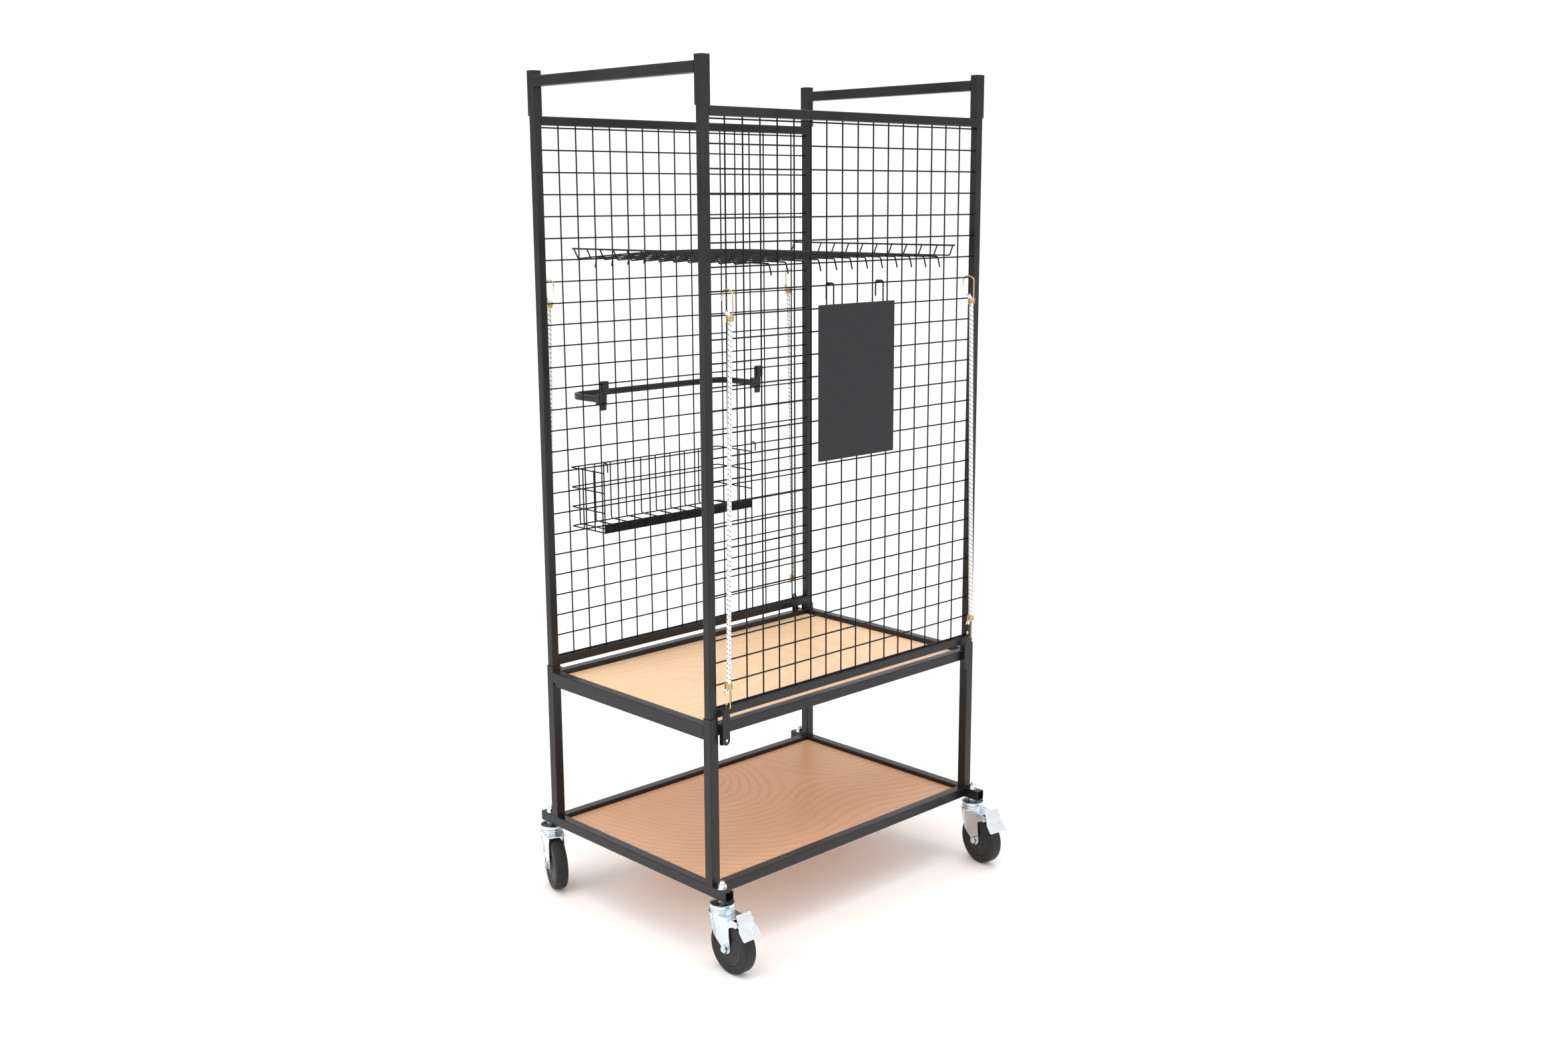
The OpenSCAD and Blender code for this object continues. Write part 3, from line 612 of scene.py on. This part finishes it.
def wheel_profiles():
    """Tyre and core sections as (radius, place across) points."""
    half, seam = WHEEL_W / 2, 43.0
    edge, crown = 6.0, 0.7
    tread = [(WHEEL_R - edge + edge * math.sin(a), -half + edge - edge * math.cos(a))
             for a in (math.pi / 16 * k for k in range(9))]
    tread = [(r - crown * (abs(x) / half) ** 2, x) for r, x in tread]
    far_side = [(r, -x) for r, x in reversed(tread)]
    bead_side = [(seam + 0.05, -half + 1.3), (seam + 0.7, -half + 0.25), (seam + 1.6, -half)]
    tyre = bead_side + tread + [(WHEEL_R - 0.2, -1.2), (WHEEL_R, 0), (WHEEL_R - 0.2, 1.2)]
    tyre += far_side + [(r, -x) for r, x in reversed(bead_side)] + [bead_side[0]]
    face = half - 0.5
    one_side = [(5.1, -18.1), (12.6, -18.1), (13.6, -17.6), (14.6, -16.2), (17.5, -face + 0.6),
                (24, -face + 1.0), (36.5, -face + 1.0), (38.2, -face), (seam - 1.6, -face),
                (seam - 0.6, -face + 0.3), (seam, -face + 1.2)]
    core = one_side + [(r, -x) for r, x in reversed(one_side)] + [one_side[0]]
    return tyre, core


def build_wheel(corner):
    tyre, core = wheel_profiles()
    place = caster_frame(corner) @ along_x(WHEEL_R, TRAIL)
    Build().add(lathe(tyre, 120), TREAD, place).piece(
        "wheel_tyre_" + corner, "wheel_" + corner, ("tyre_" + corner,), "wheel_rubber")
    hub = Build().add(lathe(core, 96), CORE, place)
    for k in range(5):
        # shallow moulded webs between the boss and the outer ring
        turn = Matrix.Rotation(2 * math.pi * k / 5, 4, "Z")
        for side in (-1, 1):
            z = side * (WHEEL_W / 2 - 1.9)
            rib = sweep([(16, 0, z), (26, 0, z), (37, 0, z)], 0.8, 8)
            hub.add(rib, CORE, place @ turn)
    hub.piece("wheel_core_" + corner, "wheel_" + corner, ("hub_" + corner,), "wheel_core")


def build_stems():
    """Studs, nuts and washers through the lower end rails, and the fixed race cups."""
    stems, nuts, cups = Build(), Build(), Build()
    rail_top = RAIL_Z + TUBE
    for corner in CORNERS:
        stem = JOINTS["swivel_" + corner]["pos_m"]
        # each nut stops at its own angle
        turn = Matrix.Rotation(0.35 + stem[0] + stem[1], 4, "Z")
        spin = Matrix.Translation((stem[0], stem[1], 0)) @ turn
        stems.add(thread(6.0, rail_top - 2, rail_top + 17), ZINC, spin)
        stems.add(lathe([(0, CROWN_Z - 3.5), (9.4, CROWN_Z - 3.5), (10, CROWN_Z - 3), (10, CROWN_Z - 0.6),
                         (6, CROWN_Z - 0.5), (6, rail_top - 2), (0, rail_top - 2)], 40), ZINC, spin)
        nuts.add(lathe(tube_profile(6.05, 11, rail_top, rail_top + 2, 0.5), 48), ZINC, spin)
        nuts.add(hex_nut(18, 8.2, 6.05, rail_top + 2), ZINC, spin)
        nuts.add(lathe(tube_profile(6.05, 8.2, rail_top + 10.0, rail_top + 12.4, 1.2), 40), ZINC, spin)
        wall = [(8, CUP_Z), (26.8, CUP_Z), (28.2, CUP_Z + 0.8), (28.5, CUP_Z + 2.0), (28.5, CUP_TOP - 1.2),
                (28.0, CUP_TOP - 0.3), (27.2, CUP_TOP), (26.2, CUP_TOP - 0.4), (25.6, CUP_TOP - 1.6),
                (25.2, CUP_Z + 3.4)]
        cups.add(lathe(wall, 80), ZINC, spin)
        # painted shade: a dark ring at the bottom of each cup, standing in for the shade in the hollow round
        # the race
        cups.add(lathe([(25.3, CUP_Z + 3.3), (21, CUP_Z + 2.9), (16, CUP_Z + 4.4), (13, CUP_Z + 4.4)], 64),
                 PAINTED_SHADE, spin)
        cups.add(hex_nut(21, RAIL_Z - CUP_Z - 4, 6.05, CUP_Z + 4), ZINC, spin)
    stems.piece("stem_studs", "base", ("caster_stems",), "bright_zinc")
    nuts.piece("stem_lock_nuts", "base", ("stem_nuts",), "bright_zinc")
    cups.piece("race_cups", "base", ("caster_raceways",), "bright_zinc")


def pedal_plate():
    """Pressed pedal: ribbed head, fold, and a flared foot with raised chevrons."""
    head = Vector((PIVOT_S + 5.5, PIVOT_Z + 24.5))
    fold = Vector((PIVOT_S + 15.3, PIVOT_Z))
    toe = Vector((PIVOT_S + 38, PIVOT_Z - 26))
    path = rounded([(head.x, head.y, 0), (fold.x, fold.y, 0), (toe.x, toe.y, 0)], 9, 10)
    steps, across = 64, 44
    runs = [0.0]
    for a, b in zip(path, path[1:]):
        runs.append(runs[-1] + (b - a).length)
    total = runs[-1]

    def at(run):
        for i in range(len(path) - 1):
            if run <= runs[i + 1] + 1e-9:
                share = (run - runs[i]) / max(runs[i + 1] - runs[i], 1e-9)
                t = (path[i + 1] - path[i]).normalized()
                return path[i].lerp(path[i + 1], share), Vector((-t.y, t.x, 0))
        return path[-1], Vector((0, 1, 0))

    fold_run = total * 0.40
    verts = []
    for i in range(steps + 1):
        run = total * i / steps
        p, normal = at(run)
        wide = smooth_step((run - fold_run + 2) / (total * 0.3))
        half = 21.0 + 5.6 * wide
        corner = min(run, total - run)
        half -= 3.5 * (1 - min(corner / 3.5, 1)) ** 2
        for k in range(across + 1):
            x = half * (2 * k / across - 1)
            if x > 0:
                x *= 1 + 0.2 * math.exp(-((run - fold_run + 6) / 3.6) ** 4)
            rise = 0.0
            for rib in (5.0, 10.5):
                if abs(x) < 16:
                    rise += 1.1 * math.exp(-((run - rib) / 1.3) ** 2)
            for level in (total - 9.0, total - 17.5):
                line = run - level + abs(x) * 0.62
                if 2 < abs(x) < 15:
                    rise += 1.5 * math.exp(-(line / 1.35) ** 2)
            lip = smooth_step((abs(x) - half + 2.0) / 2.0) * 1.6
            q = p + normal * (rise - lip)
            verts.append((x, -q.x, q.y))
    row = across + 1
    faces = [[i * row + k, i * row + k + 1, (i + 1) * row + k + 1, (i + 1) * row + k]
             for i in range(steps) for k in range(across)]
    return verts, faces


def build_pedal(side):
    corner = "front_" + side
    matrix = caster_frame(corner)
    plate = Build().add(pedal_plate(), ZINC_WHITE, matrix).piece(
        "pedal_plate_" + side, "pedal_" + side, slot="bright_zinc", sharp=60)
    modify(plate, ("SOLIDIFY", {"thickness": 1.9 * MM, "offset": 0.0}), bevel(0.0004, 50))
    ears = Build()
    half, thick = FORK_HALF - SHEET - 0.6, 2.0
    outline = [(PIVOT_S + 15, PIVOT_Z + 1.0), (PIVOT_S + 9, PIVOT_Z + 10)]
    outline += arc_points((PIVOT_S, PIVOT_Z), 5.5, 120, 280, 8) + [(PIVOT_S + 16, PIVOT_Z - 6)]
    for x in (-half, half - thick):
        ear = prism([(x, -s, z) for s, z in outline], [(x + thick, -s, z) for s, z in outline])
        ears.add(ear, ZINC, matrix)
    reach, pin_r = FORK_HALF + 1.4, 2.5
    pin = [(0, -reach), (pin_r, -reach), (pin_r, reach), (0, reach)]
    ears.add(lathe(pin, 24), ZINC, matrix @ along_x(PIVOT_Z, PIVOT_S))
    ears.piece("pedal_ears_" + side, "pedal_" + side, ("brake_pedal_" + side,), "bright_zinc")


# ---------------------------------------------------------------- elastic cords


def corner_points(node, sx, sy):
    """Vertices of a node in one quarter of the plan."""
    return [v.co for v in NODES[node].data.vertices if v.co.x * sx > 0 and v.co.y * sy > 0]


def end_of(points, top):
    """Middle of the lowest or highest few millimetres of a set of points."""
    limit = max(p.z for p in points) - 0.002 if top else min(p.z for p in points) + 0.002
    near = [p for p in points if (p.z > limit if top else p.z < limit)]
    return Vector(((min(p.x for p in near) + max(p.x for p in near)) / 2,
                   (min(p.y for p in near) + max(p.y for p in near)) / 2,
                   sum(p.z for p in near) / len(near)))


HOOK_WIRE_R = 1.6
CORD_R = 5.0
FERRULE = 15  # from the cord's end back to the first turn of wire


def coil(base, up):
    """Conical coil of wire from the cord side to the hook side of a ferrule, in mm."""
    turns, steps, rise = 4.2, 110, 13.5
    wide, narrow = 8.0, 6.5
    points = []
    for k in range(steps + 1):
        share = k / steps
        a = 2 * math.pi * turns * share
        r = narrow + (wide - narrow) * share
        points.append(base + Vector((r * math.cos(a), r * math.sin(a), up * rise * share)))
    return points


def weave(run, a):
    """Radius of the braid: strands that cross as they wind both ways round the cord."""
    wound = run * 2 * math.pi / 5.45
    return CORD_R - 0.22 + 0.3 * (math.sin(8 * a + wound) * math.sin(8 * a - wound))


def build_cords():
    braid, low_hooks, top_hooks = Build(), Build(), Build()
    for sx, sy in QUARTERS:
        points = corner_points("elastic_cords", sx, sy)
        low, top = end_of(points, False) / MM, end_of(points, True) / MM
        rows = int((top - low).length / 0.9)
        path = [low.lerp(top, k / rows) for k in range(rows + 1)]
        braid.add(sweep(path, weave, 32), BRAID)
        for end, up, hooks, node in ((low, -1, low_hooks, "lower_cord_hooks"),
                                     (top, 1, top_hooks, "upper_cord_hooks")):
            add_ferrule(hooks, end, up)
            add_hook(hooks, end, up, sy, corner_points(node, sx, sy))
    cords = braid.piece("cord_braids", None, ("elastic_cords",), "cord_braid", sharp=180)
    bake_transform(cords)
    low_hooks.piece("cord_hooks_low", "base", ("lower_cord_hooks",), "gold_zinc", sharp=60)
    top_hooks.piece("cord_hooks_top", "cage", ("upper_cord_hooks",), "gold_zinc", sharp=60)


def add_ferrule(hooks, end, up):
    """Four turns of wire round the doubled cord, and the frayed tail that sticks out beside it."""
    base = end - Vector((0, 0, up * FERRULE))
    hooks.add(sweep(coil(base, up), HOOK_WIRE_R, 10), GOLD)
    tail = Vector((-0.72, 0.69, 0))
    start = base + Vector((0, 0, up * 9)) + tail * 2.5
    path = rounded([start, start + Vector((0, 0, up * 7)) + tail * 1.5,
                    start + Vector((0, 0, up * 13)) + tail * 4.5], 4, 5)

    def swell(run, a):
        return 4.3 + 0.25 * math.sin(8 * a + run) + 0.1 * run / 4

    hooks.add(sweep(path, swell, 24), BRAID)
    threads = 14
    for k in range(threads):
        a = 2 * math.pi * k / threads
        ring = path[-1] + Vector((2.9 * math.cos(a), 2.9 * math.sin(a), 0))
        out = Vector((math.cos(a), math.sin(a), up * 1.2)) * random.uniform(1.2, 2.4) + tail
        hooks.add(sweep([ring - Vector((0, 0, up)), ring + out * 0.5, ring + out], 0.5, 6),
                  INK if k % 3 == 0 else BRAID)


def add_hook(hooks, end, up, sy, points):
    """Hook wire: a long leg from the coil, a round bow, and a short leg with a cream tip."""
    side = -sy
    inner = sy * (min(abs(p.y) for p in points) / MM + 2.0)
    tip_z = (max(p.z for p in points) if up > 0 else min(p.z for p in points)) / MM - up * 2.0
    base = end - Vector((0, 0, up * FERRULE))
    offset, lean, rise, short, cap = (8.5, 4.0, 12.0, 4.0, 9.0) if up > 0 else (4.0, 0.0, 6.0, 2.0, 7.0)
    leg_x, steps = end.x + side * offset, 16
    middle = (end.y + inner) / 2
    path = rounded([(base.x + side * 7.0, base.y, base.z + up * 12.5), (leg_x, end.y, base.z + up * 22),
                    (leg_x, end.y, tip_z - up * rise)], 5, 5)
    for k in range(1, steps + 1):
        a = math.pi * k / steps
        path.append(Vector((leg_x + side * lean * k / steps, middle + (end.y - middle) * math.cos(a),
                            tip_z - up * rise * (1 - math.sin(a)))))
    tip = path[-1] - Vector((0, 0, up * short))
    hooks.add(sweep(path + [tip], HOOK_WIRE_R, 12), GOLD)
    down = Vector((0, 0, -up))
    shell = [tip - down * 2, tip, tip + down * (cap - 1), tip + down * cap]
    hooks.add(sweep(shell, lambda run, a: 2.0 if run < cap + 1.5 else 1.2, 14), CREAM)


# ---------------------------------------------------------------- wire shelf, sign


WIRE_R = 1.75


def soft_ends(full, small, length, edge=0.5):
    """Radius of a bar that narrows within an edge of both ends."""
    return lambda run, a: full if edge < run < length - edge else small


def build_shelf():
    """Wire shelf with a low crown. Its crown leaves room to lift under the next mesh wire."""
    rim, bend, steps = 2.1, 5.0, 12
    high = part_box("shelf_cross_wires")[1]
    level = high.z / MM - WIRE_R
    hook_out, hook_drop = 7.28, 24.96
    hook_y = high.y / MM - WIRE_R - hook_out
    low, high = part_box("shelf_long_wires")
    centre = (low.x + high.x) / 2 / MM
    half = (high.x - low.x) / 2 / MM - (hook_out + 2.0)
    row_out, row_rise, row_level = 12.0, 23.5, level + 3.2
    rows, columns, step, pitch = 6, 6, 49.5, 50

    def crown(x, y):
        return (6 + y / 276) * (1 - ((x - centre) / 275) ** 2)

    cross, rows_built = Build(), Build()
    for i in range(-columns, columns):
        x = centre + (i + 0.5) * pitch
        front, back = level + crown(x, -hook_y), level + crown(x, hook_y)
        path = [(x, -hook_y - hook_out, front - hook_drop), (x, -hook_y, front),
                (x, hook_y, back), (x, hook_y + hook_out, back - hook_drop)]
        cross.add(sweep(rounded(path, bend), WIRE_R, 12), WIRE)
    for j in range(-rows, rows):
        y = (j + 0.5) * step
        places = [centre + half * k / steps for k in range(-steps, steps + 1)]
        deck = [(x, y, row_level + crown(x, y)) for x in places]
        ends = [(centre + side * (half + row_out), y, deck[0][2] + row_rise) for side in (-1, 1)]
        path = rounded([ends[0], *deck[:2]], bend)[:-1] + [Vector(p) for p in deck[1:-1]]
        path += rounded([deck[-2], deck[-1], ends[1]], bend)[1:]
        rows_built.add(sweep(path, WIRE_R, 12), WIRE)
    for side in (-1, 1):
        x, reach = centre + side * (half + row_out), (rows - 0.5) * step + 6
        bar = [(x, y, row_level + crown(centre + half, y) + row_rise)
               for y in (-reach, -reach + 1, 0, reach - 1, reach)]
        rows_built.add(sweep(bar, soft_ends(rim, rim - 0.5, 2 * reach), 14), WIRE)
    cross.piece("shelf_cross_bars", "wire_shelf", ("shelf_cross_wires",), "black_wire", sharp=60)
    rows_built.piece("shelf_rows_and_rims", "wire_shelf", ("shelf_long_wires",), "black_wire", sharp=60)


def rounded_rectangle(wide, high, corner):
    """Outline of a rectangle with rounded corners, centred on the origin."""
    points = []
    for x, y, start in ((1, 1, 0), (-1, 1, 90), (-1, -1, 180), (1, -1, 270)):
        points += arc_points((x * (wide / 2 - corner), y * (high / 2 - corner)), corner, start, start + 90, 6)
    return points


def build_sign():
    """Blank plate with softened edges, and rubber sleeves where its hooks sit on the mesh."""
    low, high = (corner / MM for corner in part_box("sign_plate"))
    wide, tall, edge, corner_r = high.x - low.x, high.z - low.z, 0.5, 2.5
    verts = []
    for inset, y in ((edge, low.y), (0, low.y + edge), (0, high.y - edge), (edge, high.y)):
        for u, v in rounded_rectangle(wide - 2 * inset, tall - 2 * inset, corner_r):
            verts.append(((low.x + high.x) / 2 + u, y, (low.z + high.z) / 2 + v))
    count = len(verts) // 4
    faces = between_rings(4, count)
    faces += [list(range(count))[::-1], list(range(3 * count, 4 * count))]
    Build().add((verts, faces), SIGN).piece("sign_panel", "sign", ("sign_plate",), "sign_face", sharp=25)
    sleeves = Build()
    low, high = (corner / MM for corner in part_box("sign_hooks"))
    over, back, length = high.z - WIRE_R, high.y - 4.5, 16
    for x in (low.x + WIRE_R, high.x - WIRE_R):
        path = [(x, back - run, over) for run in (length, length - 1, 1, 0)]
        sleeves.add(sweep(path, soft_ends(2.9, 2.2, length), 16), CLIP)
    sleeves.piece("sign_hook_sleeves", "sign", slot="black_wire", sharp=60)


# ---------------------------------------------------------------- welds


def bead(start, end, size, seed):
    """Weld bead between two points, in mm, with ripples and an uneven width."""
    start, end = Vector(start), Vector(end)
    count = max(6, int((end - start).length / 0.8))
    path = [start.lerp(end, k / count) for k in range(count + 1)]
    total = (end - start).length

    def swell(run, a):
        taper = min(1.0, (run + 0.8) / 2.5, (total - run + 0.8) / 2.5)
        return size * taper * (1 + 0.16 * math.sin(run * 3.9 + seed) + 0.1 * math.sin(run * 1.3 + 2 * seed))

    return sweep(path, swell, 10)


def build_welds():
    base, left, right, cage = Build(), Build(), Build(), Build()
    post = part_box("base_post_front_left")
    outer_x, outer_y = abs(post[0].x) / MM, abs(post[0].y) / MM
    foot = post[0].z / MM
    rail_low, rail_top = (corner.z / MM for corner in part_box("upper_end_rail_left"))
    bar_low, bar_top = (corner.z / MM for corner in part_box("left_handle_bar"))
    panel_low, panel_top = (corner.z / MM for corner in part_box("front_panel_rails"))
    panel_tube, gap = 20, 2.0
    seed = 0
    for sx, sy in QUARTERS:
        x0, x1 = sx * (outer_x - TUBE), sx * outer_x
        y0, y1 = sy * (outer_y - TUBE), sy * outer_y
        for a, b in (((x0, y1, foot), (x1, y1, foot)), ((x0, y0, foot), (x1, y0, foot)),
                     ((x0, y0, foot), (x0, y1, foot))):
            seed += 1
            base.add(bead(a, b, 1.5, seed), COAT)
        for z in (rail_low, rail_top):
            seed += 1
            base.add(bead((x0 + sx * 1.5, y0, z), (x1 - sx * 1.5, y0, z), 1.2, seed), COAT)
            base.add(bead((x0, y0 + sy * 1.5, z), (x0, y1 - sy * 1.5, z), 1.2, seed + 0.5), COAT)
        for z in (RAIL_Z, foot):
            base.add(bead((x0, y0 + sy * 2, z), (x0, y1 - sy * 2, z), 1.2, seed), COAT)
        handle = left if sx < 0 else right
        for z in (bar_low, bar_top):
            handle.add(bead((x0 + sx * 2, y0, z), (x1 - sx * 2, y0, z), 1.1, seed), COAT)
        x = sx * (outer_x - TUBE + gap)
        for z in (panel_low + panel_tube, panel_top - panel_tube):
            cage.add(bead((x, y0 + sy * 5, z), (x, y1 - sy * 5, z), 1.0, seed), COAT)
    base.piece("base_welds", "base", slot="black_coat", sharp=80)
    left.piece("left_handle_welds", "left_handle", slot="black_coat", sharp=80)
    right.piece("right_handle_welds", "right_handle", slot="black_coat", sharp=80)
    cage.piece("panel_welds", "cage", slot="black_coat", sharp=80)


# ---------------------------------------------------------------- carried-over CAD nodes


def dress(material, *names):
    for name in names:
        slots = NODES[name].material_slots
        if not slots:
            NODES[name].data.materials.append(material)
        for entry in slots:
            entry.material = material


def soften(width, *names):
    """Rounds the hard edges of CAD nodes without touching their meshes."""
    for name in names:
        modify(NODES[name], ("WELD", {"merge_threshold": 0.00001}), bevel(width, 40))


def dress_frame():
    for name in NODES:
        wiry = "wires" in name or name.startswith("basket") or name == "sign_hooks"
        dress(WIRE if wiry else COAT, name)
    dress(CLIP, "hoop_clips")
    dress(SIGN, "sign_plate")
    dress(PLY_TOP, "upper_board")
    dress(PLY_LOW, "lower_board")
    soften(0.0004, "cord_brackets", "board_ledges", "left_handle_sleeves", "right_handle_sleeves")
    soften(0.0010, "hoop_clips")
    soften(0.0005, "upper_board", "lower_board")


# ---------------------------------------------------------------- floor, light, camera


def build_floor():
    bpy.ops.mesh.primitive_grid_add(x_subdivisions=4, y_subdivisions=4, size=60, location=(0, 0, 0))
    floor = bpy.context.object
    floor.name = "studio_floor"
    floor.data.materials.append(FLOOR)


def area_light(name, place, target, size, power, colour=(1, 1, 1)):
    light = bpy.data.lights.new(name, "AREA")
    light.shape = "RECTANGLE"
    light.size, light.size_y = size
    light.energy = power
    light.color = colour
    obj = bpy.data.objects.new(name, light)
    obj.location = place
    obj.rotation_euler = (Vector(target) - Vector(place)).to_track_quat("-Z", "Y").to_euler()
    bpy.context.scene.collection.objects.link(obj)


def build_world():
    """White where the camera looks past the object, and a grey studio gradient for its reflections."""
    t = Tree(bpy.data.worlds.new("studio"), "Background")
    incoming = t.add("NewGeometry").outputs["Incoming"]
    # incoming points back to the viewer, so it is +1 straight down and -1 straight up
    height = t.spread(t.part(incoming, 2), 1.0, -1.0)
    gradient = t.add("ValToRGB", Fac=height)
    ramp = gradient.color_ramp
    ramp.elements[0].position, ramp.elements[0].color = 0.46, rgb(0.62, 0.62, 0.63)
    ramp.elements[1].position, ramp.elements[1].color = 0.80, rgb(1.0, 1.0, 1.0)
    for place, tone in ((0.50, 0.42), (0.60, 0.80)):
        ramp.elements.new(place).color = rgb(tone, tone, tone * 1.01)
    seen = t.add("LightPath").outputs["Is Camera Ray"]
    white = t.mix(seen, gradient.outputs[0], rgb(1.0, 1.0, 1.0))
    bpy.context.scene.world = t.finish(Color=white, Strength=1.08)


def build_light():
    build_world()
    area_light("top_softbox", (-0.4, -0.4, 4.6), (0, 0, 0.6), (4.5, 4.0), 110)
    area_light("left_softbox", (-4.2, 0.6, 2.6), (0, 0, 0.9), (3.0, 3.2), 60)
    area_light("front_softbox", (0.8, -4.6, 2.4), (0, 0, 0.8), (3.4, 2.6), 45)
    bpy.context.scene.view_settings.view_transform = "Standard"


def build_camera():
    """The photograph's viewpoint: 44 degrees round from the long side, looking down a little."""
    azimuth, down, roll = math.radians(44.04), math.radians(11.47), math.radians(-0.22)
    camera = bpy.data.cameras.new("camera")
    camera.sensor_width = 36.0
    camera.lens = 36.75
    camera.clip_end = 200
    obj = bpy.data.objects.new("camera", camera)
    turn = Matrix.Rotation(-azimuth, 4, "Z") @ Matrix.Rotation(math.pi / 2 - down, 4, "X")
    turn = turn @ Matrix.Rotation(roll, 4, "Z")
    obj.matrix_world = Matrix.Translation((-2.640, -2.800, 1.684)) @ turn
    bpy.context.scene.collection.objects.link(obj)
    bpy.context.scene.camera = obj


dress_frame()
build_stems()
for corner in CORNERS:
    build_fork(corner)
    build_axle(corner)
    build_wheel(corner)
for side in ("left", "right"):
    build_pedal(side)
build_cords()
build_shelf()
build_sign()
build_welds()
build_floor()
build_light()
build_camera()
